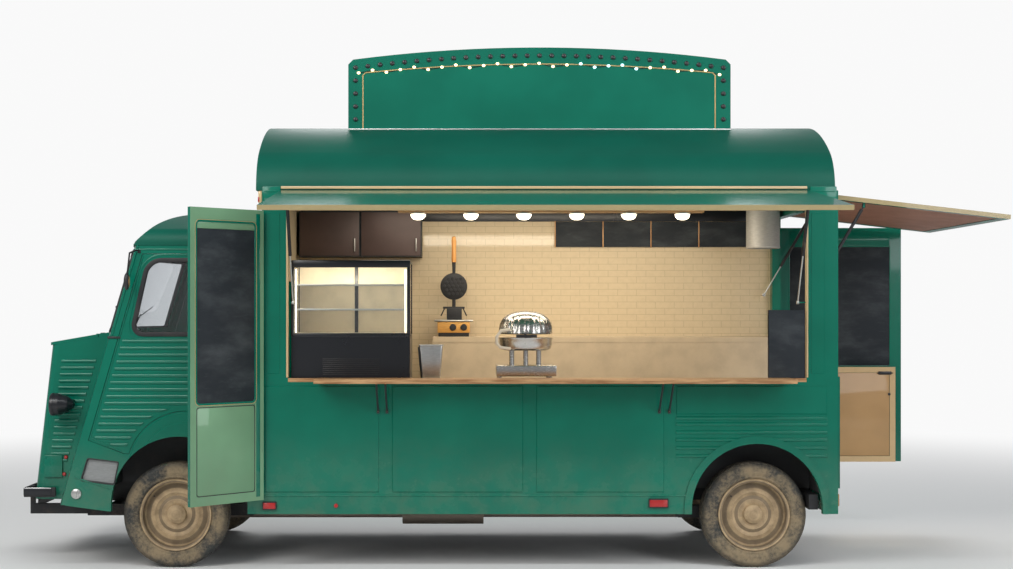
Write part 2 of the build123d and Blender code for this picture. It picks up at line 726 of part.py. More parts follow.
# Kitchen body
RIBS_X = (WHEELBASE - 540, REAR_FRAME_X - 7)
LOW_PANELS = (
    (616, 1376, 520, 1230),
    (1463, 2336, 520, 1230),
    (2423, WHEELBASE - 620, 520, 1230),
    (*RIBS_X, 1040, 1230),
)
ARCH_RIB_Z = (1014, 974, 920, 871, 816, 762)
HIGH_PANELS = ((640, 1560), (1600, 2480), (2520, WHEELBASE - 496), (WHEELBASE - 456, REAR_FRAME_X - 29))
POST_PANELS = ((616, 716), (REAR_FRAME_X - 113, REAR_FRAME_X - 23))


def rear_arch(grow=0):
    radius = REAR_ARCH_R + grow
    y = (-BODY_HALF - 60, -SIDE_IN + 60)
    return disc(WHEELBASE, REAR_ARCH_Z, radius, y) + block(
        (WHEELBASE - radius, WHEELBASE + radius), y, (0, REAR_ARCH_Z))


def body_side():
    wall = block((CAB_REAR_X, REAR_FRAME_X), (-BODY_HALF, -SIDE_IN), (SILL_Z, WALL_TOP_Z))
    arch = rear_arch()
    for x0, x1, z0, z1 in LOW_PANELS:
        wall += raised_panel((x0, x1), (z0, z1), -BODY_HALF)
    for z in ARCH_RIB_Z:
        wall += rib(RIBS_X, z, -BODY_HALF)
    wall += rib((CAB_REAR_X, REAR_FRAME_X), 497, -BODY_HALF, 5, 8)
    lip = disc(WHEELBASE, REAR_ARCH_Z, REAR_ARCH_R + ARCH_LIP, (-BODY_HALF - LIP_OUT, -BODY_HALF))
    lip += block((WHEELBASE - REAR_ARCH_R - ARCH_LIP, WHEELBASE + REAR_ARCH_R + ARCH_LIP),
                 (-BODY_HALF - LIP_OUT, -BODY_HALF), (SILL_Z, REAR_ARCH_Z))
    lip &= block((CAB_REAR_X, REAR_FRAME_X), (-BODY_HALF - 50, -SIDE_IN), (SILL_Z, WALL_TOP_Z))
    wall += lip
    return wall - arch


def kitchen_left():
    wall = body_side() - block(SERVE_X, (-BODY_HALF - 60, -SIDE_IN + 60), SERVE_Z)
    for x0, x1 in POST_PANELS:
        wall += raised_panel((x0, x1), (1310, 2380), -BODY_HALF, 3, 3)
    y, z = HATCH_AXIS
    sets = hinge_set((0, y, z), 0, HATCH_HINGES, THIN_HINGE_R, EAR)
    tabs = [block(x, (y, -BODY_HALF), (z - 4, z + 20)) for x in ears(HATCH_HINGES, EAR)]
    x, y = MENU_FRONT_AXIS
    menu = hinge_set((x, y, 0), 2, MENU_HINGES, HINGE_R, EAR)
    tabs += [block((x, x + 22), (y, -BODY_HALF), span) for span in ears(MENU_HINGES, EAR)]
    wall = fitted(wall, sets[1] + menu[1] + tabs, sets[3] + menu[3])
    y, z = HATCH_PIN
    left, right = HATCH_STRUT_X
    half = EYE_LEN / 2 + BORE_GAP
    wall += bar((SERVE_X[0] - 5, y, z), (left - half, y, z), EYE_HOLE_R)
    wall += bar((right + half, y, z), (SERVE_X[1] + 5, y, z), EYE_HOLE_R)
    return wall + tail_stud()


def tail_stud():
    """Stud beside the lower eye of a tailgate strut."""
    x, z = TAIL_PIN
    return bar((x, -SIDE_IN - 5, z), (x, -TAIL_STRUT_Y - EYE_LEN / 2 - BORE_GAP, z), EYE_HOLE_R)


def kitchen_right():
    wall = body_side()
    for x0, x1 in HIGH_PANELS:
        wall += raised_panel((x0, x1), (1310, 2440), -BODY_HALF)
    return other_side(wall + tail_stud())


def bulkhead():
    wall = block((CAB_REAR_X, CAB_REAR_X + WALL), (-SIDE_IN, SIDE_IN), (RAIL_Z[1], WALL_TOP_Z))
    return wall - block((CAB_REAR_X - 5, CAB_REAR_X + WALL + 5), PASS_Y, PASS_Z)


def rear_frame():
    frame = block((REAR_FRAME_X, REAR_X), (-BODY_HALF, BODY_HALF), (SILL_Z, WALL_TOP_Z))
    hole = block((REAR_FRAME_X - 5, REAR_X + 5), (-REAR_HOLE_HALF, REAR_HOLE_HALF), REAR_HOLE_Z)
    frame -= hole
    x, z = TAIL_AXIS
    tail = hinge_set((x, 0, z), 1, TAIL_HINGES, THIN_HINGE_R, EAR)
    tabs = [block((REAR_X, x), y, (z - 4, z + 20)) for y in ears(TAIL_HINGES, EAR)]
    frame = fitted(frame, tail[1] + tabs, tail[3])
    x, y = REAR_DOOR_AXIS
    for side in (-1, 1):
        door = hinge_set((x, side * y, 0), 2, REAR_DOOR_HINGES, HINGE_R - 1, EAR)
        across = sorted((side * y, side * (y + 24)))
        tabs = [block((REAR_X - 1, x), across, z) for z in ears(REAR_DOOR_HINGES, EAR)]
        frame = fitted(frame, door[1] + tabs, door[3])
    x, y = MENU_REAR_AXIS
    menu = hinge_set((x, y, 0), 2, MENU_HINGES, HINGE_R - 1, EAR)
    tabs = [block((x - 18, x), (BODY_HALF - 4, y - 2), z) for z in ears(MENU_HINGES, EAR)]
    return fitted(frame, menu[1] + tabs, menu[3])


REAR_WELL = 440


def kitchen_floor():
    start = CAB_REAR_X + WALL
    floor = block((start, REAR_FRAME_X), (-SIDE_IN, SIDE_IN), (RAIL_Z[1], FLOOR_Z))
    inner = BODY_HALF - REAR_WELL
    well = block((WHEELBASE - 455, WHEELBASE + 455), (inner, SIDE_IN), (RAIL_Z[1], 880))
    hollow = block((WHEELBASE - 440, WHEELBASE + 440), (inner + 15, SIDE_IN + 1), (RAIL_Z[1] - 5, 865))
    return floor + well + other_side(well) - hollow - other_side(hollow)


def arch_prism(x, inset=0):
    corner = CORNER_R - inset
    crown = CROWN_R - inset
    turn = math.radians(CORNER_DEG)
    eave = BODY_HALF - CORNER_R
    crown_z = WALL_TOP_Z + CORNER_R * math.sin(turn) - CROWN_R * math.sin(turn)
    mid = turn / 2
    low = (eave + corner, WALL_TOP_Z)
    bend = (eave + corner * math.cos(mid), WALL_TOP_Z + corner * math.sin(mid))
    knee = (eave + corner * math.cos(turn), WALL_TOP_Z + corner * math.sin(turn))

    def at(point, side):
        return (x[0], side * point[0], point[1])
    edges = [
        ThreePointArc(at(low, -1), at(bend, -1), at(knee, -1)),
        ThreePointArc(at(knee, -1), (x[0], 0, crown_z + crown), at(knee, 1)),
        ThreePointArc(at(knee, 1), at(bend, 1), at(low, 1)),
        Line(at(low, 1), at(low, -1)),
    ]
    return extrude(make_face(edges), amount=x[1] - x[0], dir=(1, 0, 0))


def roof():
    return arch_prism(ROOF_X) - arch_prism((CAB_REAR_X + WALL, ROOF_X[1] - 60), ROOF_SKIN)


def sign():
    x0, x1 = SIGN_X
    y0, y1 = SIGN_Y
    mid = (x0 + x1) / 2
    edges = [
        Line((x0, y0, 2990), (x0, y0, SIGN_END_Z - 35)),
        Line((x0, y0, SIGN_END_Z - 35), (x0 + 35, y0, SIGN_END_Z)),
        ThreePointArc((x0 + 35, y0, SIGN_END_Z), (mid, y0, SIGN_PEAK_Z), (x1 - 35, y0, SIGN_END_Z)),
        Line((x1 - 35, y0, SIGN_END_Z), (x1, y0, SIGN_END_Z - 35)),
        Line((x1, y0, SIGN_END_Z - 35), (x1, y0, 2990)),
        Line((x1, y0, 2990), (x0, y0, 2990)),
    ]
    box = extrude(make_face(edges), amount=y1 - y0, dir=(0, 1, 0))
    return box - arch_prism(ROOF_X)


def sign_bulbs():
    x0, x1 = SIGN_X
    half = (x1 - x0) / 2 - 52
    mid = (x0 + x1) / 2
    rise = SIGN_PEAK_Z - SIGN_END_Z
    count = 31
    spots = []
    for i in range(count):
        x = mid - half + 2 * half * i / (count - 1)
        share = (x - mid) / half
        spots.append((x, SIGN_PEAK_Z - 58 - rise * share * share))
    for row in range(4):
        z = SIGN_END_Z - 58 - 92 * (row + 1)
        spots += [(mid - half, z), (mid + half, z)]
    bulbs = []
    for x, z in spots:
        face = make_face(Polyline(
            (x, SIGN_Y[0], z), (x + BULB_R, SIGN_Y[0], z), (x + BULB_R * 0.8, SIGN_Y[0] - 10, z),
            (x, SIGN_Y[0] - 15, z), close=True))
        bulbs.append(revolve(face, axis=Axis((x, 0, z), (0, 1, 0))))
    return group(*bulbs)


STAYS_X = (1371, 1430, SHELF_X[1] - 869, SHELF_X[1] - 802)


def shelf(wall):
    board = block(SHELF_X, (SHELF_OUT_Y, -BODY_HALF), SHELF_Z)
    board += block(SERVE_X, (-BODY_HALF, -SIDE_IN), (SHELF_Z[0], SHELF_Z[1] - SHELF_STEP))
    for x in STAYS_X:
        board += bar((x, SHELF_OUT_Y + 25, SHELF_Z[0] + 3), (x, -BODY_HALF - 10, 1060), 5)
        board += block((x - 8, x + 8), (-BODY_HALF - 14, -BODY_HALF), (1048, 1070))
    return board - wall


def counters():
    top = SHELF_Z[0]
    x0 = CAB_REAR_X + WALL
    front = block((x0, REAR_FRAME_X), (-SIDE_IN, COUNTER_Y), (top - 40, top))
    front += block((x0, REAR_FRAME_X), (COUNTER_Y - 22, COUNTER_Y - 2), (FLOOR_Z, top))
    back = block((1700, REAR_FRAME_X), (BACK_COUNTER_Y, SIDE_IN), (BACK_COUNTER_Z - 40, BACK_COUNTER_Z))
    back += block((1700, REAR_FRAME_X), (BACK_COUNTER_Y + 2, BACK_COUNTER_Y + 22), (FLOOR_Z, BACK_COUNTER_Z))
    back += block((1700, 1720), (BACK_COUNTER_Y + 2, SIDE_IN), (FLOOR_Z, BACK_COUNTER_Z))
    return group(front, back)


CABINETS = ((660, 1130), (1136, 1606))
BOARD_PITCH = 380
BOARD = 374
BOARD_X = 2662


def wall_boards():
    parts = [block(x, (SIDE_IN - 300, SIDE_IN), (2150, 2500)) for x in CABINETS]
    for i in range(4):
        x = BOARD_X + i * BOARD_PITCH
        parts.append(block((x, x + BOARD), (SIDE_IN - 15, SIDE_IN), (2236, 2436)))
    right = SERVE_X[1] - 9
    board = block((right - 244, right), (4 - BODY_HALF, 22 - BODY_HALF), (SHELF_Z[1] - SHELF_STEP, 1735))
    return group(*parts, board)


CASE_X = (SERVE_X[0] + 15, SERVE_X[0] + 810)
CASE_Y = (20 - SIDE_IN, 440 - SIDE_IN)
CASE_Z = (1570, 2066)


def display_case():
    base = block(CASE_X, CASE_Y, (SHELF_Z[0], CASE_Z[0]))
    base += block(CASE_X, CASE_Y, (CASE_Z[1] - 14, CASE_Z[1]))
    base += block(CASE_X, (CASE_Y[1] - 14, CASE_Y[1]), (CASE_Z[0], CASE_Z[1]))
    for x in (CASE_X[0], CASE_X[1] - 16):
        base += block((x, x + 16), (CASE_Y[0], CASE_Y[0] + 16), (CASE_Z[0], CASE_Z[1]))
    return base


def display_glass():
    x0, x1 = CASE_X
    y0, y1 = CASE_Y
    z0, z1 = CASE_Z[0], CASE_Z[1] - 14
    front = block((x0 + 16, x1 - 16), (y0 + 4, y0 + 9), (z0, z1))
    ends = [block(x, (y0 + 16, y1 - 14), (z0, z1)) for x in ((x0 + 4, x0 + 9), (x1 - 9, x1 - 4))]
    shelves = [block((x0 + 9, x1 - 9), (y0 + 20, y1 - 14), (z, z + 6)) for z in (1735, 1900)]
    return group(front, ends[0] + shelves + ends[1])


IRON = (2362, 240 - BODY_HALF)
IRON_R = 178
IRON_LID_Z = (1600, 1728)
TURNING_IRON = (1858, BODY_HALF - 275)
BIN_X = (1640, 1800)
BIN_Y = (100 - BODY_HALF, 260 - BODY_HALF)
DUCT = (REAR_FRAME_X - 147, BODY_HALF - 500)
DUCT_R = (118, 128)
DUCT_Z = 2206


def round_iron():
    x, y = IRON
    foot = SHELF_Z[0]
    iron = block((x - 202, x + 202), (y - 172, y + 172), (1289, 1362))
    for dx in (-180, 160):
        for dy in (-150, 130):
            iron += bar((x + dx, y + dy, foot), (x + dx, y + dy, 1289), 14)
    for dx in (-95, 0, 88):
        iron += bar((x + dx, y - 20, 1362), (x + dx, y - 20, 1464), 17)
    iron += bar((x, y, 1464), (x, y, 1548), IRON_R) + bar((x, y, 1548), (x, y, 1571), 30)
    rise = IRON_LID_Z[1] - IRON_LID_Z[0]
    round_r = (IRON_R ** 2 + rise ** 2) / (2 * rise)
    ball = Pos(x, y, IRON_LID_Z[1] - round_r) * Sphere(round_r)
    lid = ball & block((x - IRON_R - 9, x + IRON_R + 9), (y - IRON_R - 9, y + IRON_R + 9), IRON_LID_Z)
    return iron + bar((x, y, 1571), (x, y, IRON_LID_Z[0]), IRON_R) + lid


def turning_iron():
    x, y = TURNING_IRON
    iron = block((x - 125, x + 125), (y - 130, y + 130), (BACK_COUNTER_Z, 1645))
    iron += block((x - 150, x + 150), (y - 140, y + 140), (1645, 1660))
    iron += block((x - 55, x + 62), (y - 60, y + 40), (1660, 1752))
    iron += bar((x, y, 1752), (x, y, 1830), 14) + disc(x, 1920, 105, (y - 15, y + 15))
    return iron + bar((x, y, 2020), (x, y, 2310), 17)


def duct():
    """Round duct from under the roof down over the back counter."""
    x, y = DUCT
    inner, outer = DUCT_R
    room = block((x - 200, x + 200), (y - 200, y + 200), (DUCT_Z, WALL_TOP_Z))
    room += arch_prism((x - 200, x + 200), ROOF_SKIN + 0.3)
    top = WALL_TOP_Z + 480
    tube = bar((x, y, DUCT_Z), (x, y, top), outer) & room
    return tube - bar((x, y, DUCT_Z - 1), (x, y, top), inner)


def appliances():
    foot = SHELF_Z[0]
    tub = block(BIN_X, BIN_Y, (foot, 1500))
    tub -= block((BIN_X[0] + 6, BIN_X[1] - 6), (BIN_Y[0] + 6, BIN_Y[1] - 6), (foot + 6, 1520))
    return group(round_iron(), turning_iron(), tub, duct())


LED_X = (1634, 1989, 2345, 2700, 3050, 3410)
MARKERS = ((604, 690, 408, 455), (WHEELBASE - 720, WHEELBASE - 596, 422, 474))


def lamps():
    rail = block((1500, 3550), (-SIDE_IN, -865), (2388, 2420))
    for x in LED_X:
        dome = Pos(x, -912, 2348) * Cone(26, 47, 40, align=(Align.CENTER, Align.CENTER, Align.MIN))
        rail += dome
    parts = [rail]
    for x0, x1, z0, z1 in MARKERS:
        one = block((x0, x1), (-BODY_HALF - 12, -BODY_HALF), (z0, z1))
        parts += both_sides(one)
    for y in (-940, 900):
        parts.append(block((REAR_X, REAR_X + 20), (y, y + 40), (420, 500)))
    return group(*parts)


# Hatch, tailgate, doors and struts, each drawn shut and swung to where it rests
def upper_bracket(root, pin, along):
    """Two cheeks from a lid to a strut's upper pin, and the pin, along one axis index."""
    parts = None
    reach = EYE_LEN / 2 + 1
    for side in (-1, 1):
        near, far = sorted((side * reach, side * (reach + 4)))
        spans = [sorted((root[i], pin[i])) for i in range(3)]
        spans = [(a - 7, b + 7) if a == b else (a, b) for a, b in spans]
        spans[along] = (pin[along] + near, pin[along] + far)
        cheek = block(*spans)
        start, end = list(pin), list(pin)
        start[along] += near
        end[along] += far
        cheek += bar(tuple(start), tuple(end), 7)
        parts = cheek if parts is None else parts + cheek
    start, end = list(pin), list(pin)
    start[along] -= reach + 2
    end[along] += reach + 2
    return parts + bar(tuple(start), tuple(end), PIN_R)


def hatch():
    y, z = HATCH_AXIS
    leaf = block(HATCH_X, (y - HATCH, y), (z - HATCH_LEN, z))
    inner = block((HATCH_X[0] + 60, HATCH_X[1] - 60), (y - 8, y), (z - HATCH_LEN + 60, z - 60))
    sets = hinge_set((0, y, z), 0, HATCH_HINGES, THIN_HINGE_R, EAR)
    leaf = fitted(leaf - inner, sets[0], sets[2])
    for x in HATCH_STRUT_X:
        leaf += upper_bracket((x, y - 9, z - HATCH_PIN_OUT), (x, y + PIN_DROP, z - HATCH_PIN_OUT), 0)
    return leaf


def tailgate():
    x, z = TAIL_AXIS
    leaf = block((x, x + LEAF), (-TAIL_HALF, TAIL_HALF), (z - TAIL_LEN, z))
    inner = block((x, x + 8), (-TAIL_HALF + 60, TAIL_HALF - 60), (z - TAIL_LEN + 60, z - 60))
    sets = hinge_set((x, 0, z), 1, TAIL_HINGES, THIN_HINGE_R, EAR)
    leaf = fitted(leaf - inner, sets[0], sets[2])
    for y in (-TAIL_STRUT_Y, TAIL_STRUT_Y):
        leaf += upper_bracket((x + 9, y, z - TAIL_PIN_OUT), (x - PIN_DROP, y, z - TAIL_PIN_OUT), 1)
    return leaf


def hatch_rest(shape):
    return swung(shape, (0, HATCH_AXIS[0], HATCH_AXIS[1]), (1, 0, 0), -HATCH_OPEN_DEG)


def tail_rest(shape):
    return swung(shape, (TAIL_AXIS[0], 0, TAIL_AXIS[1]), (0, 1, 0), -TAIL_OPEN_DEG)


def turn_plane(u, v, degrees):
    a = math.radians(degrees)
    return (u * math.cos(a) - v * math.sin(a), u * math.sin(a) + v * math.cos(a))


def hatch_upper_pin(degrees=-HATCH_OPEN_DEG):
    """Strut pin on the hatch, (y, z), with the hatch turned from shut."""
    y, z = turn_plane(PIN_DROP, -HATCH_PIN_OUT, degrees)
    return (HATCH_AXIS[0] + y, HATCH_AXIS[1] + z)


def tail_upper_pin(degrees=-TAIL_OPEN_DEG):
    """Strut pin on the tailgate, (x, z), with the tailgate turned from shut."""
    a = math.radians(degrees)
    x = -PIN_DROP * math.cos(a) - TAIL_PIN_OUT * math.sin(a)
    z = PIN_DROP * math.sin(a) - TAIL_PIN_OUT * math.cos(a)
    return (TAIL_AXIS[0] + x, TAIL_AXIS[1] + z)


def strut(top, shut, foot):
    """A gas strut drawn out from its upper pin to its lower one: tube and rod.

    shut is where the upper pin lies with the lid shut, which gives the tube its length.
    """
    start = Vector(*top)
    run = Vector(*foot) - start
    closed = (Vector(*foot) - Vector(*shut)).length
    stroke = run.length - closed
    run = run.normalized()
    mouth = start + run * (closed - STRUT_END)
    body = bar(tuple(start + run * 24), tuple(mouth), STRUT_R)
    body += bar(tuple(start + run * 8), tuple(start + run * 26), EYE_HOLE_R)
    hollow = bar(tuple(start + run * STRUT_HEAD), tuple(mouth + run * 5), STRUT_ROD_R + 1)
    inner = start + run * (STRUT_HEAD + stroke + 5)
    rod = bar(tuple(inner), tuple(Vector(*foot) - run * 6), STRUT_ROD_R)
    return body - hollow, rod


def ring_eye():
    return Cylinder(12, EYE_LEN) - Cylinder(EYE_HOLE_R, EYE_LEN + 2)


def hatch_struts():
    upper, shut = hatch_upper_pin(), hatch_upper_pin(0)
    tubes, rods = [], []
    for x in HATCH_STRUT_X:
        tube, rod = strut((x, *upper), (x, *shut), (x, *HATCH_PIN))
        eye = Pos(x, *upper) * Rot(0, 90, 0) * ring_eye()
        lower = Pos(x, *HATCH_PIN) * Rot(0, 90, 0) * ring_eye()
        tubes.append(tube + eye)
        rods.append(rod + lower)
    return group(*tubes), group(*rods)


def tail_struts():
    upper, shut = tail_upper_pin(), tail_upper_pin(0)
    tubes, rods = [], []
    for y in (-TAIL_STRUT_Y, TAIL_STRUT_Y):
        tube, rod = strut((upper[0], y, upper[1]), (shut[0], y, shut[1]), (TAIL_PIN[0], y, TAIL_PIN[1]))
        eye = Pos(upper[0], y, upper[1]) * Rot(90, 0, 0) * ring_eye()
        lower = Pos(TAIL_PIN[0], y, TAIL_PIN[1]) * Rot(90, 0, 0) * ring_eye()
        tubes.append(tube + eye)
        rods.append(rod + lower)
    return group(*tubes), group(*rods)


def rear_door():
    """Left lower door, shut."""
    x = REAR_DOOR_AXIS[0]
    y = REAR_DOOR_AXIS[1] - 8
    leaf = block((x, x + LEAF), (-y, -4), REAR_DOOR_Z)
    z0, z1 = REAR_DOOR_Z
    recess = block((x, x + 10), (-y + 45, -49), (z0 + 45, z1 - 45))
    sets = hinge_set((x, -y - 8, 0), 2, REAR_DOOR_HINGES, HINGE_R - 1, EAR)
    bore = HINGE_PIN_R + HINGE_GAP
    straps = [block((x, x + 7), (-y - 8 + bore + 1, -y + 30), (z - HINGE_HALF, z + HINGE_HALF))
              for z in REAR_DOOR_HINGES]
    return fitted(leaf - recess, sets[0] + straps, sets[2])


def menu_front():
    x, y = MENU_FRONT_AXIS
    leaf = block((x - MENU_FRONT_LEN, x - 5), (y - LEAF, y), MENU_FRONT_Z)
    z0, z1 = MENU_FRONT_Z
    low, high = MENU_FRONT_SPLIT
    span = (x - MENU_FRONT_LEN + MENU_FRONT_EDGE[0], x - MENU_FRONT_EDGE[1])
    upper = block(span, (y - LEAF, y - LEAF + 8), (high, z1 - 90))
    lower = block(span, (y - LEAF, y - LEAF + 8), (z0 + 60, low))
    sets = hinge_set((x, y, 0), 2, MENU_HINGES, HINGE_R, EAR)
    bore = HINGE_PIN_R + HINGE_GAP
    spans = [(z - HINGE_HALF, z + HINGE_HALF) for z in MENU_HINGES]
    straps = [block((x - 20, x - bore - 0.5), (y - 7, y), span) for span in spans]
    leaf = fitted(leaf - upper - lower, sets[0] + straps, sets[2])
    return swung(leaf, (x, y, 0), (0, 0, 1), MENU_FRONT_DEG)


def menu_rear():
    x, y = MENU_REAR_AXIS
    leaf = block((x + 5, x + MENU_REAR_LEN), (y - LEAF, y), MENU_REAR_Z)
    z0, z1 = MENU_REAR_Z
    mid = 1290
    upper = block((x + 90, x + MENU_REAR_LEN - 90), (y - LEAF, y - LEAF + 8), (mid, z1 - 150))
    sets = hinge_set((x, y, 0), 2, MENU_HINGES, HINGE_R - 1, EAR)
    bore = HINGE_PIN_R + HINGE_GAP
    spans = [(z - HINGE_HALF, z + HINGE_HALF) for z in MENU_HINGES]
    straps = [block((x + bore + 0.5, x + 20), (y - 7, y), span) for span in spans]
    return fitted(leaf - upper, sets[0] + straps, sets[2])


def main():
    os.makedirs("parts", exist_ok=True)
    NODES["chassis"] = chassis()
    NODES["front_subframe"] = front_subframe()
    NODES["engine"] = engine()
    NODES["rear_axle"] = rear_axle()
    NODES["fuel_tank"] = fuel_tank()
    NODES["exhaust"] = exhaust()
    NODES["knuckle_left"] = knuckle(-1)
    NODES["knuckle_right"] = knuckle(1)
    for name, x, side in (("front_left", 0, -1), ("front_right", 0, 1),
                          ("rear_left", WHEELBASE, -1), ("rear_right", WHEELBASE, 1)):
        NODES["rim_" + name] = Pos(x, 0, 0) * turned(RIM_PROFILE, side * WHEEL_Y, side)
        NODES["tyre_" + name] = Pos(x, 0, 0) * turned(TYRE_PROFILE, side * WHEEL_Y, side)
    front = cab_front()
    NODES["cab_front"] = front
    NODES["windscreen"] = windscreen()
    NODES["cab_sides"] = group(both_sides(cab_side()))
    NODES["wings"] = group(both_sides(wing()))
    NODES["cab_roof"] = cab_roof()
    NODES["cab_floor"] = cab_floor()
    NODES["nose"] = nose()
    NODES["bonnet"] = bonnet()
    NODES["headlamps"] = group(both_sides(headlamp()))
    NODES["bumper"] = bumper()
    NODES["dashboard"] = dashboard()
    NODES["seats"] = seats()
    door = cab_door()
    NODES["cab_door_left"] = door
    NODES["cab_door_right"] = other_side(door)
    NODES["door_glass_left"] = door_glass()
    NODES["door_glass_right"] = other_side(door_glass())
    NODES["kitchen_left"] = kitchen_left()
    NODES["kitchen_right"] = kitchen_right()
    NODES["bulkhead"] = bulkhead()
    NODES["rear_frame"] = rear_frame()
    NODES["kitchen_floor"] = kitchen_floor()
    NODES["roof"] = roof()
    NODES["sign"] = sign()
    NODES["sign_bulbs"] = sign_bulbs()
    NODES["shelf"] = shelf(NODES["kitchen_left"])
    NODES["counters"] = counters()
    NODES["wall_boards"] = wall_boards()
    NODES["display_case"] = display_case()
    NODES["display_glass"] = display_glass()
    NODES["appliances"] = appliances()
    NODES["lamps"] = lamps()
    NODES["hatch"] = hatch_rest(hatch())
    NODES["hatch_tubes"], NODES["hatch_rods"] = hatch_struts()
    NODES["tailgate"] = tail_rest(tailgate())
    NODES["tailgate_tubes"], NODES["tailgate_rods"] = tail_struts()
    left_door = rear_door()
    NODES["rear_door_left"] = left_door
    NODES["rear_door_right"] = swung(
        other_side(left_door), (REAR_DOOR_AXIS[0], REAR_DOOR_AXIS[1], 0), (0, 0, 1), 90)
    NODES["menu_door_front"] = menu_front()
    NODES["menu_door_rear"] = menu_rear()
    boxes = [shape.bounding_box() for shape in NODES.values()]
    mid_x = (min(b.min.X for b in boxes) + max(b.max.X for b in boxes)) / 2
    mid_y = (min(b.min.Y for b in boxes) + max(b.max.Y for b in boxes)) / 2
    for name, shape in NODES.items():
        export_step(Pos(-mid_x, -mid_y, 0) * shape, f"parts/{name}.step")
    print("origin", mid_x, mid_y)


if __name__ == "__main__":
    main()
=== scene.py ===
"""Looks of a food truck on a forward-control van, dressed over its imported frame."""

import logging
import math
from dataclasses import dataclass
from enum import Enum
from typing import Callable, Sequence

import bmesh
import bpy
from mathutils import Matrix, Vector


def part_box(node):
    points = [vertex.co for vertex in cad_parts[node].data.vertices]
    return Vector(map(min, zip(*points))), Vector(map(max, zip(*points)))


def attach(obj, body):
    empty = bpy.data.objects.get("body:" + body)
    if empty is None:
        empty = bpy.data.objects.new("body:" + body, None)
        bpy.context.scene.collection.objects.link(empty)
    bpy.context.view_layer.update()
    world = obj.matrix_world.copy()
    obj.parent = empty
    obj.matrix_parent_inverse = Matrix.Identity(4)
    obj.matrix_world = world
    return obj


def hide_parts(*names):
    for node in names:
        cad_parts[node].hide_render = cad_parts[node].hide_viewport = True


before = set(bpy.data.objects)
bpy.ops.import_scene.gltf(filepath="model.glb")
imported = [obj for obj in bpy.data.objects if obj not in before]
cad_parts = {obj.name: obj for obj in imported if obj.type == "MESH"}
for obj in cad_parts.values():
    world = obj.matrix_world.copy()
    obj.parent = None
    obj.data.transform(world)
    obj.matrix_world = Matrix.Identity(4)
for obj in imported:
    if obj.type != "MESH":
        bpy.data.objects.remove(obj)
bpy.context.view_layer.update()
LOG = logging.getLogger("food_truck")

Span = tuple[float, float]
Triple = tuple[float, float, float]


# Place of the drawing in the frame


@dataclass(frozen=True)
class Place:
    """Turns the drawing's millimetres into the frame's metres."""

    x0: float
    y0: float

    def point(self, x: float, y: float, z: float) -> Vector:
        """Gives a drawing point in the frame, in metres."""
        return Vector(((x - self.x0) / 1000, (y - self.y0) / 1000, z / 1000))

    def matrix(self) -> Matrix:
        """Gives the drawing's whole move into the frame."""
        return Matrix.Scale(0.001, 4) @ Matrix.Translation((-self.x0, -self.y0, 0))


WHEELBASE = 3896.0


def find_place() -> Place:
    """Reads the drawing's origin from the rear tyres.

    Returns:
        The place whose front axle lies at X 0 and whose middle lies at Y 0.
    """
    left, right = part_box("tyre_rear_left"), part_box("tyre_rear_right")
    axle = (left[0].x + left[1].x) * 500
    middle = (left[0].y + right[1].y) * 500
    return Place(WHEELBASE - axle, -middle)


PLACE = find_place()


# Shader maths and node graphs


def paint(red: int, green: int, blue: int) -> Triple:
    """Turns screen values from 0 to 255 into linear colour."""
    scaled = [v / 255 for v in (red, green, blue)]
    return tuple(v / 12.92 if v <= 0.04045 else ((v + 0.055) / 1.055) ** 2.4 for v in scaled)


def shade(colour: Triple, share: float) -> Triple:
    """Darkens a colour, or lightens it when the share is above 1."""
    return tuple(v * share for v in colour)


class Wire:
    """A shader socket that takes part in plain Python sums."""

    def __init__(self, graph: "Graph", socket: bpy.types.NodeSocket) -> None:
        """Holds the socket and the graph that owns it."""
        self.graph = graph
        self.socket = socket

    def _sum(self, operation: str, first: "Wire | float", second: "Wire | float") -> "Wire":
        """Adds one Math node and gives its result."""
        made = self.graph.node("ShaderNodeMath", {"operation": operation}, {0: first, 1: second})
        return Wire(self.graph, made.outputs[0])

    def __add__(self, other: "Wire | float") -> "Wire":
        """Adds."""
        return self._sum("ADD", self, other)

    __radd__ = __add__

    def __sub__(self, other: "Wire | float") -> "Wire":
        """Subtracts."""
        return self._sum("SUBTRACT", self, other)

    def __rsub__(self, other: float) -> "Wire":
        """Subtracts from a number."""
        return self._sum("SUBTRACT", other, self)

    def __mul__(self, other: "Wire | float") -> "Wire":
        """Multiplies."""
        return self._sum("MULTIPLY", self, other)

    __rmul__ = __mul__

    def __pow__(self, other: float) -> "Wire":
        """Raises to a power."""
        return self._sum("POWER", self, other)

    def larger(self, other: "Wire | float") -> "Wire":
        """Takes the larger of the two."""
        return self._sum("MAXIMUM", self, other)

    def smaller(self, other: "Wire | float") -> "Wire":
        """Takes the smaller of the two."""
        return self._sum("MINIMUM", self, other)

    def rise(self, low: float, high: float) -> "Wire":
        """Goes smoothly from 0 at low to 1 at high, or the other way when low is larger.

        Args:
            low: The value that gives 0.
            high: The value that gives 1.

        Returns:
            The smooth step.
        """
        turned = low > high
        ends = (high, low) if turned else (low, high)
        made = self.graph.node(
            "ShaderNodeMapRange",
            {"interpolation_type": "SMOOTHSTEP", "clamp": True},
            {"Value": self, "From Min": ends[0], "From Max": ends[1]},
        )
        out = Wire(self.graph, made.outputs["Result"])
        return 1 - out if turned else out

    def within(self, span: Span, soft: float = 0.001) -> "Wire":
        """Is 1 inside a span and 0 outside it."""
        return self.rise(span[0] - soft, span[0]) * self.rise(span[1] + soft, span[1])


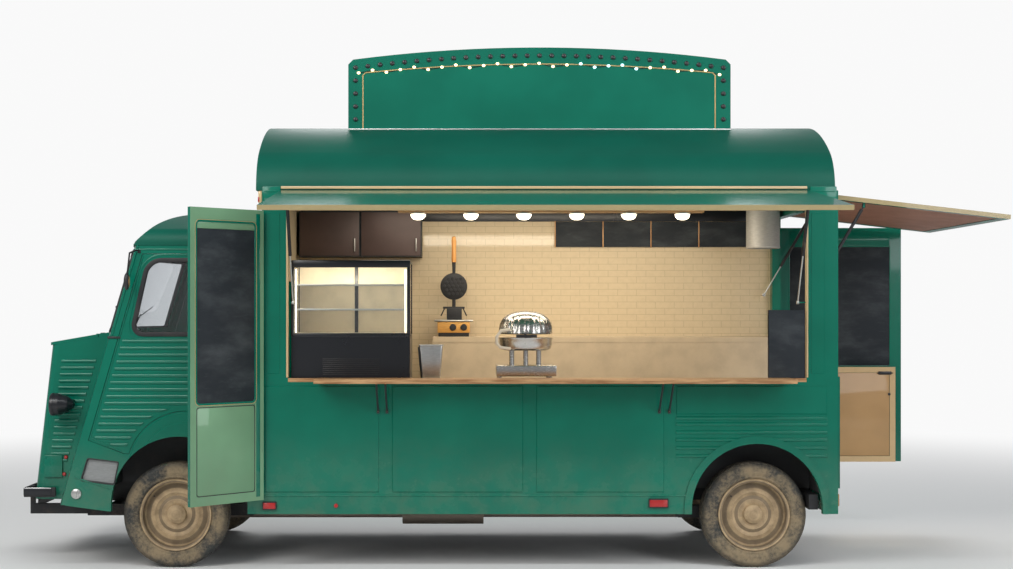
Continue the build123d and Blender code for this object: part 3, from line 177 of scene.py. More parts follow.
class Graph:
    """A material's nodes, with the patterns that this truck's finishes share."""

    def __init__(self, name: str) -> None:
        """Starts a material with one Principled shader.

        Args:
            name: The material's name.
        """
        self.material = bpy.data.materials.new(name)
        self.material.use_nodes = True
        self.tree = self.material.node_tree
        self.tree.nodes.clear()
        self.out = self.tree.nodes.new("ShaderNodeOutputMaterial")
        self.shader = self.node("ShaderNodeBsdfPrincipled")
        self.tree.links.new(self.shader.outputs[0], self.out.inputs[0])
        self._place: Wire | None = None
        self._axes: dict[str, Wire] = {}

    def node(self, kind: str, settings: dict | None = None, values: dict | None = None) -> bpy.types.Node:
        """Adds a node.

        Args:
            kind: The node's type.
            settings: Its own settings, set first; "stops" fills a ramp.
            values: Values or wires for its sockets, by name or number.

        Returns:
            The new node.
        """
        made = self.tree.nodes.new(kind)
        for key, value in (settings or {}).items():
            if key == "stops":
                ramp = made.color_ramp.elements
                while len(ramp) < len(value):
                    ramp.new(0.5)
                for stop, (at, colour) in zip(ramp, value):
                    stop.position = at
                    stop.color = (*colour, 1)
            else:
                setattr(made, key, value)
        for key, value in (values or {}).items():
            self.feed(made.inputs[key], value)
        return made

    def feed(self, socket: bpy.types.NodeSocket, value: "Wire | float | Sequence[float]") -> None:
        """Sets or links one socket.

        Args:
            socket: The socket to fill.
            value: A link, a number, a colour or a vector.
        """
        if isinstance(value, Wire):
            self.tree.links.new(value.socket, socket)
        elif isinstance(value, (int, float)) and hasattr(socket.default_value, "__len__"):
            socket.default_value = [value] * len(socket.default_value)
        elif socket.type == "RGBA":
            socket.default_value = (*value[:3], 1)
        else:
            socket.default_value = value

    def dress(self, **values: "Wire | float | Sequence[float]") -> None:
        """Feeds the shader; a socket's name is written with underscores."""
        for key, value in values.items():
            self.feed(self.shader.inputs[key.replace("_", " ")], value)

    @property
    def here(self) -> Wire:
        """The point in Object coordinates.

        Returns:
            The vector socket.
        """
        if self._place is None:
            self._place = Wire(self, self.node("ShaderNodeTexCoord").outputs["Object"])
        return self._place

    def axis(self, letter: str) -> Wire:
        """One Object coordinate: X, Y or Z.

        Args:
            letter: The coordinate's letter.

        Returns:
            The coordinate in metres.
        """
        if not self._axes:
            split = self.node("ShaderNodeSeparateXYZ", {}, {0: self.here})
            self._axes = {k: Wire(self, split.outputs[k]) for k in "XYZ"}
        return self._axes[letter]

    def stretched(self, scale: Triple, turn: Triple = (0, 0, 0), shift: Triple = (0, 0, 0)) -> Wire:
        """Object coordinates, turned, moved and scaled for one pattern.

        Args:
            scale: Scale along each axis.
            turn: Turn about each axis.
            shift: Move along each axis.

        Returns:
            The pattern's own coordinates.
        """
        made = self.node(
            "ShaderNodeMapping",
            {},
            {"Vector": self.here, "Scale": scale, "Rotation": turn, "Location": shift},
        )
        return Wire(self, made.outputs[0])

    def noise(self, scale: float, detail: float = 4, rough: float = 0.55, at: Wire | None = None) -> Wire:
        """Cloudy noise from 0 to 1.

        Args:
            scale: How fine the cloud is.
            detail: How many finer layers it has.
            rough: How strong those layers are.
            at: Where it is read, or None for here.

        Returns:
            The noise.
        """
        made = self.node(
            "ShaderNodeTexNoise",
            {},
            {"Vector": at or self.here, "Scale": scale, "Detail": detail, "Roughness": rough},
        )
        return Wire(self, made.outputs["Fac"])

    def wave(self, direction: str, scale: float) -> Wire:
        """Bands from 0 to 1 across one direction.

        Args:
            direction: The letter of the axis.
            scale: How fine the bands are.

        Returns:
            The bands.
        """
        made = self.node(
            "ShaderNodeTexWave", {"bands_direction": direction}, {"Vector": self.here, "Scale": scale}
        )
        return Wire(self, made.outputs["Fac"])

    def mix(self, share: Wire | float, first: "Wire | Triple", second: "Wire | Triple") -> Wire:
        """Mixes two colours."""
        made = self.node("ShaderNodeMix", {"data_type": "RGBA"}, {0: share, 6: first, 7: second})
        return Wire(self, made.outputs[2])

    def bump(self, height: Wire, strength: float, distance: float = 0.001) -> Wire:
        """Turns a height into a normal."""
        made = self.node("ShaderNodeBump", {}, {"Height": height, "Strength": strength, "Distance": distance})
        return Wire(self, made.outputs[0])


class Side(Enum):
    """The two sides of the truck: the serving side is the left one."""

    LEFT = -1
    RIGHT = 1


class Axis(Enum):
    """The axis along which a flat outline is given its thickness."""

    X = 0
    Y = 1
    Z = 2


# Finishes


@dataclass(frozen=True)
class Finish:
    """A finish by its name. Each kind fills a graph of its own."""

    name: str

    def fill(self, graph: Graph) -> None:
        """Fills the graph with this finish's nodes."""
        raise NotImplementedError

    def material(self) -> bpy.types.Material:
        """Gives the one material of this finish, made on first use.

        Returns:
            The material.
        """
        if self not in MATERIALS:
            graph = Graph(self.name)
            self.fill(graph)
            MATERIALS[self] = graph.material
        return MATERIALS[self]


MATERIALS: dict[Finish, bpy.types.Material] = {}


@dataclass(frozen=True)
class Lining:
    """A second colour on the inner side of a wall."""

    axis: str
    span: Span
    colour: Triple
    boards: bool = False


@dataclass(frozen=True)
class BodyPaint(Finish):
    """Gloss enamel on old sheet metal, with road dust low down and thin runs of rain."""

    colour: Triple = (0.0, 0.0, 0.0)
    gloss: float = 0.2
    dust: float = 0.5
    coat: float = 0.4
    linings: tuple[Lining, ...] = ()

    def fill(self, graph: Graph) -> None:
        """Fills the graph with enamel, dust, runs and linings.

        Args:
            graph: The graph that the material is made of.
        """
        tone = graph.noise(1.7, 3)
        fine = graph.noise(24, 5)
        runs = graph.noise(9, 3, 0.6, graph.stretched((3.4, 3.4, 0.22)))
        low = graph.axis("Z").rise(1.0, 0.33)
        dirt = (low * graph.noise(6, 6, 0.65).rise(0.34, 0.72)) * self.dust * 0.38
        worn = (runs.rise(0.66, 0.84) * 0.05 + fine.rise(0.72, 0.88) * 0.03) * self.dust
        darker = shade(self.colour, 0.9)
        lighter = shade(self.colour, 1.08)
        colour = graph.mix(tone.rise(0.3, 0.7), darker, lighter)
        colour = graph.mix(worn, colour, paint(116, 138, 118))
        colour = graph.mix(dirt, colour, paint(128, 112, 88))
        rough = tone * 0.1 + self.gloss + dirt * 0.45 + worn * 0.3
        for lining in self.linings:
            share = graph.axis(lining.axis).within(lining.span)
            speckle = fine.rise(0.35, 0.75) * 0.3
            inner = graph.mix(speckle, lining.colour, shade(lining.colour, 0.8))
            if lining.boards:
                inner = graph.mix(self.joints(graph), inner, shade(lining.colour, 0.76))
            colour = graph.mix(share, colour, inner)
            rough = rough * (1 - share) + share * 0.4
        dents = graph.noise(2.4, 2) * 1.0 + graph.noise(170, 2) * 0.02
        graph.dress(
            Base_Color=colour,
            Roughness=rough,
            Specular_IOR_Level=0.2,
            Coat_Weight=self.coat,
            Coat_Roughness=0.05,
            Normal=graph.bump(dents, 0.25, 0.012),
        )

    def joints(self, graph: Graph) -> Wire:
        """Gives the joints between the glazed wall tiles.

        Args:
            graph: The graph that the material is made of.

        Returns:
            1 in a joint and 0 on a tile.
        """
        turned = graph.node("ShaderNodeCombineXYZ", {}, {0: graph.axis("X"), 1: graph.axis("Z")})
        brick = graph.node(
            "ShaderNodeTexBrick",
            {"offset": 0.5},
            {
                "Vector": Wire(graph, turned.outputs[0]),
                "Scale": 1.0,
                "Mortar Size": 0.0022,
                "Mortar Smooth": 0.3,
                "Brick Width": 0.15,
                "Row Height": 0.05,
            },
        )
        return Wire(graph, brick.outputs["Fac"])


@dataclass(frozen=True)
class Steel(Finish):
    """Steel or iron, bare, plated or blacked, with fine scratches."""

    colour: Triple = (0.5, 0.5, 0.5)
    rough: float = 0.35
    metal: float = 1.0
    stain: Triple = (0.16, 0.11, 0.07)
    stained: float = 0.25

    def fill(self, graph: Graph) -> None:
        """Fills the graph with brushed metal and stains.

        Args:
            graph: The graph that the material is made of.
        """
        brushed = graph.noise(26, 4, 0.6, graph.stretched((1.0, 1.0, 9.0)))
        spots = graph.noise(7, 6, 0.7).rise(0.52, 0.75) * self.stained
        colour = graph.mix(brushed.rise(0.3, 0.75), shade(self.colour, 0.8), self.colour)
        graph.dress(
            Base_Color=graph.mix(spots, colour, self.stain),
            Metallic=(1 - spots) * self.metal,
            Roughness=brushed * 0.18 + self.rough + spots * 0.4,
            Normal=graph.bump(brushed, 0.12, 0.0006),
        )


@dataclass(frozen=True)
class WheelDisc(Finish):
    """Painted wheel disc under dried mud, darker in its grooves."""

    centre: Triple = (0.0, 0.0, 0.0)

    def fill(self, graph: Graph) -> None:
        """Fills the graph with rings of mud about the wheel's own centre.

        Args:
            graph: The graph that the material is made of.
        """
        dx = graph.axis("X") - self.centre[0]
        dz = graph.axis("Z") - self.centre[2]
        radius = (dx * dx + dz * dz) ** 0.5
        rings = graph.noise(1.0, 3, 0.6, self.ring_place(graph, radius))
        cloud = graph.noise(13, 6, 0.65)
        grooves = radius.within((0.106, 0.122), 0.006).larger(radius.within((0.18, 0.204), 0.008))
        grooves = grooves.larger(radius.within((0.222, 0.228), 0.004))
        colour = graph.mix(cloud.rise(0.3, 0.7), paint(146, 124, 94), paint(186, 160, 124))
        colour = graph.mix(rings.rise(0.5, 0.75) * 0.5, colour, paint(120, 104, 82))
        colour = graph.mix(grooves * 0.6, colour, paint(84, 74, 62))
        colour = graph.mix(graph.noise(60, 4).rise(0.62, 0.8) * 0.5, colour, paint(88, 80, 68))
        graph.dress(
            Base_Color=colour,
            Roughness=cloud * 0.25 + 0.55,
            Normal=graph.bump(cloud * 0.6 + graph.noise(90, 4) * 0.4, 0.5, 0.002),
        )

    @staticmethod
    def ring_place(graph: Graph, radius: Wire) -> Wire:
        """Gives a place that changes with the radius alone."""
        made = graph.node("ShaderNodeCombineXYZ", {}, {0: radius * 60})
        return Wire(graph, made.outputs[0])


@dataclass(frozen=True)
class TyreRubber(Finish):
    """Old tyre rubber under tan dust, rubbed dark in patches."""

    centre: Triple = (0.0, 0.0, 0.0)

    def fill(self, graph: Graph) -> None:
        """Fills the graph with rubber, dust and scuffs.

        Args:
            graph: The graph that the material is made of.
        """
        dx = graph.axis("X") - self.centre[0]
        dz = graph.axis("Z") - self.centre[2]
        radius = (dx * dx + dz * dz) ** 0.5
        cloud = graph.noise(5.5, 5, 0.6)
        grit = graph.noise(48, 5, 0.7)
        share = (cloud * 0.7 + grit * 0.3).rise(0.36, 0.6)
        share = share * radius.rise(0.37, 0.3).larger(0.45)
        colour = graph.mix(grit.rise(0.3, 0.8), paint(38, 40, 42), paint(70, 70, 66))
        colour = graph.mix(share * 0.85, colour, paint(150, 132, 104))
        graph.dress(
            Base_Color=colour,
            Roughness=share * 0.2 + 0.72,
            Normal=graph.bump(grit, 0.5, 0.0015),
        )


@dataclass(frozen=True)
class Rubber(Finish):
    """Moulded black rubber or plastic."""

    colour: Triple = (0.012, 0.012, 0.014)
    rough: float = 0.5

    def fill(self, graph: Graph) -> None:
        """Fills the graph with rubber and a little dust.

        Args:
            graph: The graph that the material is made of.
        """
        grain = graph.noise(120, 4)
        dust = graph.noise(8, 5).rise(0.5, 0.8) * 0.14
        graph.dress(
            Base_Color=graph.mix(dust, self.colour, paint(120, 112, 98)),
            Roughness=grain * 0.15 + self.rough,
            Normal=graph.bump(grain, 0.15, 0.0004),
        )


@dataclass(frozen=True)
class Glass(Finish):
    """Flat window glass with a faint tint and smears."""

    colour: Triple = (0.86, 0.9, 0.9)
    clear: float = 1.0

    def fill(self, graph: Graph) -> None:
        """Fills the graph with clear glass.

        Args:
            graph: The graph that the material is made of.
        """
        smear = graph.noise(5, 4, 0.6, graph.stretched((1.0, 1.0, 0.4)))
        graph.dress(
            Base_Color=self.colour,
            Transmission_Weight=self.clear,
            IOR=1.45,
            Roughness=smear.rise(0.5, 0.85) * 0.06 + 0.005,
        )


@dataclass(frozen=True)
class Timber(Finish):
    """Varnished timber with its grain along one axis."""

    light: Triple = (0.45, 0.28, 0.14)
    dark: Triple = (0.24, 0.13, 0.06)
    grain: Triple = (1.0, 14.0, 14.0)

    def fill(self, graph: Graph) -> None:
        """Fills the graph with grain.

        Args:
            graph: The graph that the material is made of.
        """
        at = graph.stretched(self.grain)
        lines = graph.noise(5.5, 6, 0.6, at)
        pores = graph.noise(40, 3, 0.5, at)
        colour = graph.mix(lines.rise(0.32, 0.68), self.dark, self.light)
        colour = graph.mix(pores.rise(0.6, 0.8) * 0.35, colour, shade(self.dark, 0.5))
        graph.dress(
            Base_Color=colour,
            Roughness=lines * 0.2 + 0.36,
            Normal=graph.bump(lines * 0.6 + pores * 0.4, 0.3, 0.0012),
        )


@dataclass(frozen=True)
class Chalkboard(Finish):
    """Matt blackboard with wiped chalk."""

    def fill(self, graph: Graph) -> None:
        """Fills the graph with board paint and chalk haze.

        Args:
            graph: The graph that the material is made of.
        """
        haze = graph.noise(3.2, 6, 0.6, graph.stretched((1.0, 1.0, 2.2)))
        wiped = graph.noise(16, 4, 0.7, graph.stretched((0.6, 0.6, 2.5)))
        share = haze.rise(0.4, 0.8) * 0.13 + wiped.rise(0.55, 0.8) * 0.06
        graph.dress(
            Base_Color=graph.mix(share, paint(17, 26, 34), paint(150, 156, 158)),
            Roughness=0.62 + wiped * 0.15,
            Normal=graph.bump(graph.noise(220, 2), 0.1, 0.0004),
        )


@dataclass(frozen=True)
class Worktop(Finish):
    """Wiped laminate or plastic with faint marks."""

    colour: Triple = (0.6, 0.55, 0.48)
    rough: float = 0.32

    def fill(self, graph: Graph) -> None:
        """Fills the graph with laminate.

        Args:
            graph: The graph that the material is made of.
        """
        cloud = graph.noise(6, 5)
        fleck = graph.noise(150, 3)
        darker = shade(self.colour, 0.72)
        colour = graph.mix(cloud.rise(0.35, 0.75) * 0.6, self.colour, darker)
        colour = graph.mix(fleck.rise(0.6, 0.75) * 0.25, colour, darker)
        marks = graph.bump(fleck, 0.08, 0.0004)
        graph.dress(Base_Color=colour, Roughness=cloud * 0.2 + self.rough, Normal=marks)


@dataclass(frozen=True)
class Cloth(Finish):
    """Woven seat cloth."""

    colour: Triple = (0.03, 0.035, 0.04)

    def fill(self, graph: Graph) -> None:
        """Fills the graph with a plain weave.

        Args:
            graph: The graph that the material is made of.
        """
        weave = (graph.wave("Y", 180.0) + graph.wave("X", 180.0)) * 0.5
        cloud = graph.noise(9, 4)
        colour = graph.mix(weave, shade(self.colour, 0.7), shade(self.colour, 1.6))
        graph.dress(
            Base_Color=graph.mix(cloud.rise(0.5, 0.8) * 0.3, colour, paint(96, 92, 84)),
            Roughness=0.88,
            Sheen_Weight=0.3,
            Normal=graph.bump(weave, 0.35, 0.0008),
        )


@dataclass(frozen=True)
class Glow(Finish):
    """A lit lens or bulb."""

    colour: Triple = (1.0, 0.85, 0.62)
    power: float = 4.0

    def fill(self, graph: Graph) -> None:
        """Fills the graph with light that is a little uneven.

        Args:
            graph: The graph that the material is made of.
        """
        cloud = graph.noise(30, 2)
        graph.dress(
            Base_Color=self.colour,
            Roughness=0.3,
            Emission_Color=graph.mix(cloud, self.colour, shade(self.colour, 0.85)),
            Emission_Strength=self.power,
        )


@dataclass(frozen=True)
class Lens(Finish):
    """A coloured plastic lens, moulded in fine ribs."""

    colour: Triple = (0.5, 0.01, 0.01)

    def fill(self, graph: Graph) -> None:
        """Fills the graph with a ribbed lens.

        Args:
            graph: The graph that the material is made of.
        """
        line = graph.wave("Z", 60.0)
        graph.dress(
            Base_Color=graph.mix(line, shade(self.colour, 0.6), self.colour),
            Roughness=0.15,
            Coat_Weight=0.6,
            Normal=graph.bump(line, 0.5, 0.001),
        )


TEAL = paint(0, 106, 85)
# Darker than the body's teal: painted shade on the upward-facing roofs of the cab and the body.
SHADED_ROOF_TEAL = paint(0, 86, 70)
SAGE = paint(112, 152, 118)
TAN = paint(182, 144, 98)
CREAM = paint(210, 192, 160)
EDGE_GOLD = paint(158, 142, 104)
PALE_TAN = paint(206, 176, 132)


def lengthwise(*places: float) -> tuple[float, ...]:
    """Gives drawing places along the truck in the frame's metres."""
    return tuple(PLACE.point(x, 0, 0).x for x in places)


def crosswise(*places: float) -> tuple[float, ...]:
    """Gives drawing places across the truck in the frame's metres."""
    return tuple(PLACE.point(0, y, 0).y for y in places)



BODY = BodyPaint("teal_enamel", TEAL)
BODY_LEFT = BodyPaint("teal_enamel_left_wall", TEAL, linings=(Lining("Y", crosswise(-962, -100), CREAM),))
RIGHT_WALL = Lining("Y", crosswise(100, 962), CREAM, True)
BODY_RIGHT = BodyPaint("teal_enamel_right_wall", TEAL, linings=(RIGHT_WALL,))
BULKHEAD = BodyPaint("teal_enamel_bulkhead", TEAL, linings=(Lining("X", lengthwise(630, 640), CREAM),))
# The roofs' enamel takes the darker teal as painted shade, with no clear coat.
SHADED_ROOF_PAINT = BodyPaint("roof_enamel", SHADED_ROOF_TEAL, 0.42, 0.6, 0.0)
SAGE_PAINT = BodyPaint("sage_enamel", SAGE, 0.35, 0.35)
# Tan for the lower doors' panels and the lamps, and for the painted reflection on the mirror's face.
TAN_PAINT_AND_REFLECTION = BodyPaint("tan_enamel", TAN, 0.4, 0.3)
# Cream for the jamb strips and the corner lamp, and also for the painted highlight along the left eave.
CREAM_TRIM_AND_HIGHLIGHT = BodyPaint("cream_strip", paint(206, 178, 134), 0.35, 0.4)
BLACK_STEEL = Steel("black_chassis_steel", (0.022, 0.022, 0.024), 0.45, 0.3, stained=0.45)
BARE_STEEL = Steel("bare_steel", (0.55, 0.55, 0.54), 0.28, stained=0.12)
ZINC = Steel("zinc_plate", (0.6, 0.6, 0.58), 0.25, stained=0.1)
IRON = Steel("engine_iron", (0.09, 0.09, 0.09), 0.6, 0.6, stained=0.5)
CHROME = Steel("chrome", (0.75, 0.75, 0.76), 0.08, stained=0.06)
GOLD = Steel("gold_line", (0.62, 0.45, 0.2), 0.4, 0.5, stained=0.1)
BLACK_RUBBER = Rubber("black_rubber")
DARK_PLASTIC = Rubber("dark_plastic", (0.018, 0.018, 0.02), 0.3)
FLOOR_LINING = Rubber("ribbed_floor_lining", (0.05, 0.05, 0.052), 0.6)
WINDOW_GLASS = Glass("window_glass", (0.8, 0.82, 0.84))
CASE_GLASS = Glass("case_glass", (0.95, 0.97, 0.96))
SHELF_WOOD = Timber("shelf_timber", paint(200, 158, 112), paint(146, 102, 62))
BOARD = Chalkboard("chalkboard")
COUNTER = Worktop("counter_laminate", paint(206, 186, 156))
CASE_LINING = Worktop("case_lining", paint(236, 220, 192), 0.5)
GALVANISED = Steel("galvanised_duct", (0.56, 0.54, 0.5), 0.46, 0.3, stained=0.1)
STEP_STEEL = Steel("step_plate", (0.3, 0.31, 0.31), 0.45, 0.4, stained=0.2)
CASE_BLACK = Worktop("case_enamel", paint(24, 26, 32), 0.2)
CUPBOARD = Worktop("cupboard_enamel", paint(74, 58, 56), 0.42)
SEAT_CLOTH = Cloth("seat_cloth")
LED = Glow("warm_lamp", (1.0, 0.88, 0.66), 6.0)
FAIRY = Glow("fairy_light", (1.0, 0.78, 0.45), 3.0)
RED_LENS = Lens("red_lens")
AMBER_LENS = Lens("amber_lens", (0.8, 0.28, 0.02))
COOL_FAIRY = Glow("cool_fairy_light", (0.55, 0.9, 1.0), 3.0)
POLISHED = Steel("polished_steel", (0.62, 0.6, 0.57), 0.16, stained=0.08)
CAST = Steel("cast_iron", (0.035, 0.036, 0.04), 0.5, 0.5, stained=0.15)
COPPER = Steel("copper_enamel", paint(222, 168, 92), 0.4, 0.4, stained=0.1)
GRIP_WOOD = Timber("grip_timber", paint(228, 168, 92), paint(190, 124, 60), (14.0, 14.0, 1.0))
CREAM_TUBE = Worktop("cream_tube", paint(232, 220, 200), 0.3)
PALE_WOOD = Timber("pale_timber", paint(224, 176, 124), paint(176, 126, 80), (14.0, 14.0, 1.0))
PINK_LINING = Worktop("tailgate_lining", paint(158, 112, 92), 0.5)
RIGHT_INNER = Lining("Y", crosswise(912, 914), PALE_TAN)
REAR_DOOR_RIGHT = BodyPaint("teal_enamel_rear_right", TEAL, linings=(RIGHT_INNER,))
LEFT_INNER = Lining("X", lengthwise(4440, 4442), PALE_TAN)
REAR_DOOR_LEFT = BodyPaint("teal_enamel_rear_left", TEAL, linings=(LEFT_INNER,))

HATCH_LOW, TAIL_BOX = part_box("hatch")[0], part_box("tailgate")
HATCH_EDGE = Lining("Y", (HATCH_LOW.y - 0.01, HATCH_LOW.y + 0.006), EDGE_GOLD)
HATCH_PAINT = BodyPaint("teal_enamel_hatch", TEAL, linings=(HATCH_EDGE,))
TAIL_PAINT = BodyPaint(
    "teal_enamel_tailgate",
    TEAL,
    linings=(
        Lining("Y", (TAIL_BOX[0].y - 0.01, TAIL_BOX[0].y + 0.001), EDGE_GOLD),
        Lining("Y", (TAIL_BOX[1].y - 0.001, TAIL_BOX[1].y + 0.01), EDGE_GOLD),
        Lining("X", (TAIL_BOX[1].x - 0.006, TAIL_BOX[1].x + 0.01), EDGE_GOLD),
    ),
)


EXHAUST_STEEL = Steel("exhaust_steel", (0.32, 0.27, 0.22), 0.5, 0.8, (0.12, 0.06, 0.03), 0.8)
NODE_FINISHES: dict[Finish, str] = {
    BLACK_STEEL: (
        "chassis front_subframe rear_axle fuel_tank knuckle_left knuckle_right bumper hatch_tubes "
        "tailgate_tubes"
    ),
    IRON: "engine",
    EXHAUST_STEEL: "exhaust",
    BODY: (
        "cab_front cab_sides wings nose bonnet cab_door_left cab_door_right rear_frame sign "
        "menu_door_rear"
    ),
    WINDOW_GLASS: "windscreen door_glass_left door_glass_right",
    SHADED_ROOF_PAINT: "cab_roof roof",
    FLOOR_LINING: "cab_floor kitchen_floor",
    CASE_BLACK: "headlamps display_case",
    DARK_PLASTIC: "dashboard sign_bulbs",
    SEAT_CLOTH: "seats",
    BODY_LEFT: "kitchen_left",
    BODY_RIGHT: "kitchen_right",
    BULKHEAD: "bulkhead",
    SHELF_WOOD: "shelf",
    COUNTER: "counters",
    BOARD: "wall_boards",
    CASE_GLASS: "display_glass",
    BARE_STEEL: "appliances",
    TAN_PAINT_AND_REFLECTION: "lamps",
    HATCH_PAINT: "hatch",
    ZINC: "hatch_rods tailgate_rods",
    TAIL_PAINT: "tailgate",
    REAR_DOOR_LEFT: "rear_door_left",
    REAR_DOOR_RIGHT: "rear_door_right",
    SAGE_PAINT: "menu_door_front",
}


# Shapes in the drawing's millimetres


class Shape:
    """A mesh in the making, put together from parts in the drawing's millimetres."""

    def __init__(self) -> None:
        """Starts with nothing."""
        self.bm = bmesh.new()

    def join(self, part: bmesh.types.BMesh) -> "Shape":
        """Adds a part and frees it.

        Args:
            part: The part that is added.

        Returns:
            This shape.
        """
        bmesh.ops.recalc_face_normals(part, faces=part.faces)
        mesh = bpy.data.meshes.new("part")
        part.to_mesh(mesh)
        part.free()
        self.bm.from_mesh(mesh)
        bpy.data.meshes.remove(mesh)
        return self

    def add(self, other: "Shape") -> "Shape":
        """Adds another shape and uses it up."""
        return self.join(other.bm)

    def box(self, x: Span, y: Span, z: Span, edge: float = 0, segments: int = 2) -> "Shape":
        """Adds a box with rounded edges.

        Args:
            x: Its span along X.
            y: Its span along Y.
            z: Its span along Z.
            edge: The radius of its rounded edges.
            segments: How many faces round a corner has.

        Returns:
            This shape.
        """
        part = bmesh.new()
        size = Vector((x[1] - x[0], y[1] - y[0], z[1] - z[0]))
        middle = Vector((x[0] + x[1], y[0] + y[1], z[0] + z[1])) / 2
        move = Matrix.Translation(middle) @ Matrix.Diagonal((*size, 1))
        bmesh.ops.create_cube(part, size=1, matrix=move)
        self.round_edges(part, edge, segments)
        return self.join(part)

    @staticmethod
    def round_edges(part: bmesh.types.BMesh, edge: float, segments: int = 2, least: float = 30) -> None:
        """Rounds the part's edges that turn by more than the least angle.

        Args:
            part: The part whose edges are rounded.
            edge: The radius of its rounded edges.
            segments: How many faces round a corner has.
            least: The least turn in degrees that counts as an edge.
        """
        if not edge:
            return
        bmesh.ops.recalc_face_normals(part, faces=part.faces)
        turn = math.radians(least)
        sharp = [e for e in part.edges if len(e.link_faces) == 2 and e.calc_face_angle(0) > turn]
        bmesh.ops.bevel(
            part,
            geom=sharp,
            offset=edge,
            offset_type="OFFSET",
            segments=segments,
            profile=0.5,
            affect="EDGES",
            clamp_overlap=True,
            material=-1,
        )

    def rod(
        self,
        start: Triple,
        end: Triple,
        radius: float,
        tip: float | None = None,
        steps: int = 20,
        edge: float = 0,
    ) -> "Shape":
        """Adds a round bar or cone between two points.

        Args:
            start: The middle of one end.
            end: The middle of the other end.
            radius: The radius at the start.
            tip: The radius at the end, where it differs.
            steps: How many sides it has.
            edge: The radius of its rounded edges.

        Returns:
            This shape.
        """
        part = bmesh.new()
        run = Vector(end) - Vector(start)
        turn = run.to_track_quat("Z", "Y").to_matrix().to_4x4()
        move = Matrix.Translation((Vector(start) + Vector(end)) / 2) @ turn
        bmesh.ops.create_cone(
            part,
            cap_ends=True,
            segments=steps,
            radius1=radius,
            radius2=radius if tip is None else tip,
            depth=run.length,
            matrix=move,
        )
        self.round_edges(part, edge, 2, 50)
        return self.join(part)

    def ball(self, at: Triple, radius: float, squash: Triple = (1, 1, 1), steps: int = 12) -> "Shape":
        """Adds a ball, squashed along the axes.

        Args:
            at: Its middle.
            radius: Its radius.
            squash: Its scale along each axis.
            steps: How many faces it has round.

        Returns:
            This shape.
        """
        part = bmesh.new()
        move = Matrix.Translation(at) @ Matrix.Diagonal((*squash, 1))
        rows = max(steps // 2, 4)
        bmesh.ops.create_uvsphere(part, u_segments=steps, v_segments=rows, radius=radius, matrix=move)
        return self.join(part)

    def lathe(
        self, profile: Sequence[Span], at: Triple, axis: Axis, steps: int = 48, out: float = 1
    ) -> "Shape":
        """Adds a turned shape.

        Args:
            profile: Points of (radius, distance along the axis), closed if its ends lie off the axis.
            at: A point on the axis, where the distance is 0.
            axis: The axis of the turn.
            steps: How many steps go round.
            out: Which way the distance grows along the axis, 1 or -1.

        Returns:
            The shape itself.
        """
        part = bmesh.new()
        along = Vector([1.0 if i == axis.value else 0.0 for i in range(3)])
        across = Vector((0, 0, 1)) if axis is not Axis.Z else Vector((1, 0, 0))
        verts = [part.verts.new(Vector(at) + across * r + along * (d * out)) for r, d in profile]
        edges = [part.edges.new(pair) for pair in zip(verts, verts[1:])]
        if profile[0][0] > 0.01 and profile[-1][0] > 0.01:
            edges.append(part.edges.new((verts[-1], verts[0])))
        bmesh.ops.spin(
            part,
            geom=verts + edges,
            cent=at,
            axis=along,
            angle=2 * math.pi,
            steps=steps,
            use_merge=True,
            use_duplicate=False,
        )
        bmesh.ops.remove_doubles(part, verts=part.verts, dist=0.01)
        return self.join(part)

    @staticmethod
    def spot(axis: Axis, u: float, v: float, at: float) -> Vector:
        """Gives the point of an outline drawn across an axis.

        Args:
            axis: The axis that the outline is drawn across.
            u: The outline's first coordinate.
            v: The outline's second coordinate.
            at: The place along the axis.

        Returns:
            The point.
        """
        if axis is Axis.X:
            return Vector((at, u, v))
        if axis is Axis.Y:
            return Vector((u, at, v))
        return Vector((u, v, at))

    def outline(
        self, points: Sequence[Span], axis: Axis, at: float, corner: float = 0, segments: int = 6
    ) -> bmesh.types.BMesh:
        """Draws a flat face with rounded corners, in a part of its own.

        Args:
            points: The outline's corners, in order.
            axis: The axis that the outline is drawn across.
            at: The face's place along the axis.
            corner: The radius of the outline's corners.
            segments: How many faces round a corner has.

        Returns:
            A part with that face.
        """
        part = bmesh.new()
        face = part.faces.new([part.verts.new(self.spot(axis, u, v, at)) for u, v in points])
        if corner:
            bmesh.ops.bevel(
                part,
                geom=list(face.verts),
                offset=corner,
                offset_type="OFFSET",
                segments=segments,
                profile=0.5,
                affect="VERTICES",
                clamp_overlap=True,
                material=-1,
            )
        return part

    @staticmethod
    def thicken(part: bmesh.types.BMesh, axis: Axis, depth: float) -> None:
        """Gives the part's faces a depth along the axis.

        Args:
            part: The part with flat faces.
            axis: The axis of the depth.
            depth: How deep it gets.
        """
        made = bmesh.ops.extrude_face_region(part, geom=part.faces[:])
        verts = [g for g in made["geom"] if isinstance(g, bmesh.types.BMVert)]
        step = Vector([depth if i == axis.value else 0.0 for i in range(3)])
        bmesh.ops.translate(part, verts=verts, vec=step)

    def slab(
        self, points: Sequence[Span], axis: Axis, span: Span, corner: float = 0, edge: float = 0
    ) -> "Shape":
        """Adds a flat outline with a depth and rounded edges.

        Args:
            points: The outline's corners, in order.
            axis: The axis that the outline is drawn across.
            span: Where the depth starts and ends along the axis.
            corner: The radius of the outline's corners.
            edge: The radius of its rounded edges.

        Returns:
            This shape.
        """
        part = self.outline(points, axis, span[0], corner)
        self.thicken(part, axis, span[1] - span[0])
        self.round_edges(part, edge, 2, 50)
        return self.join(part)

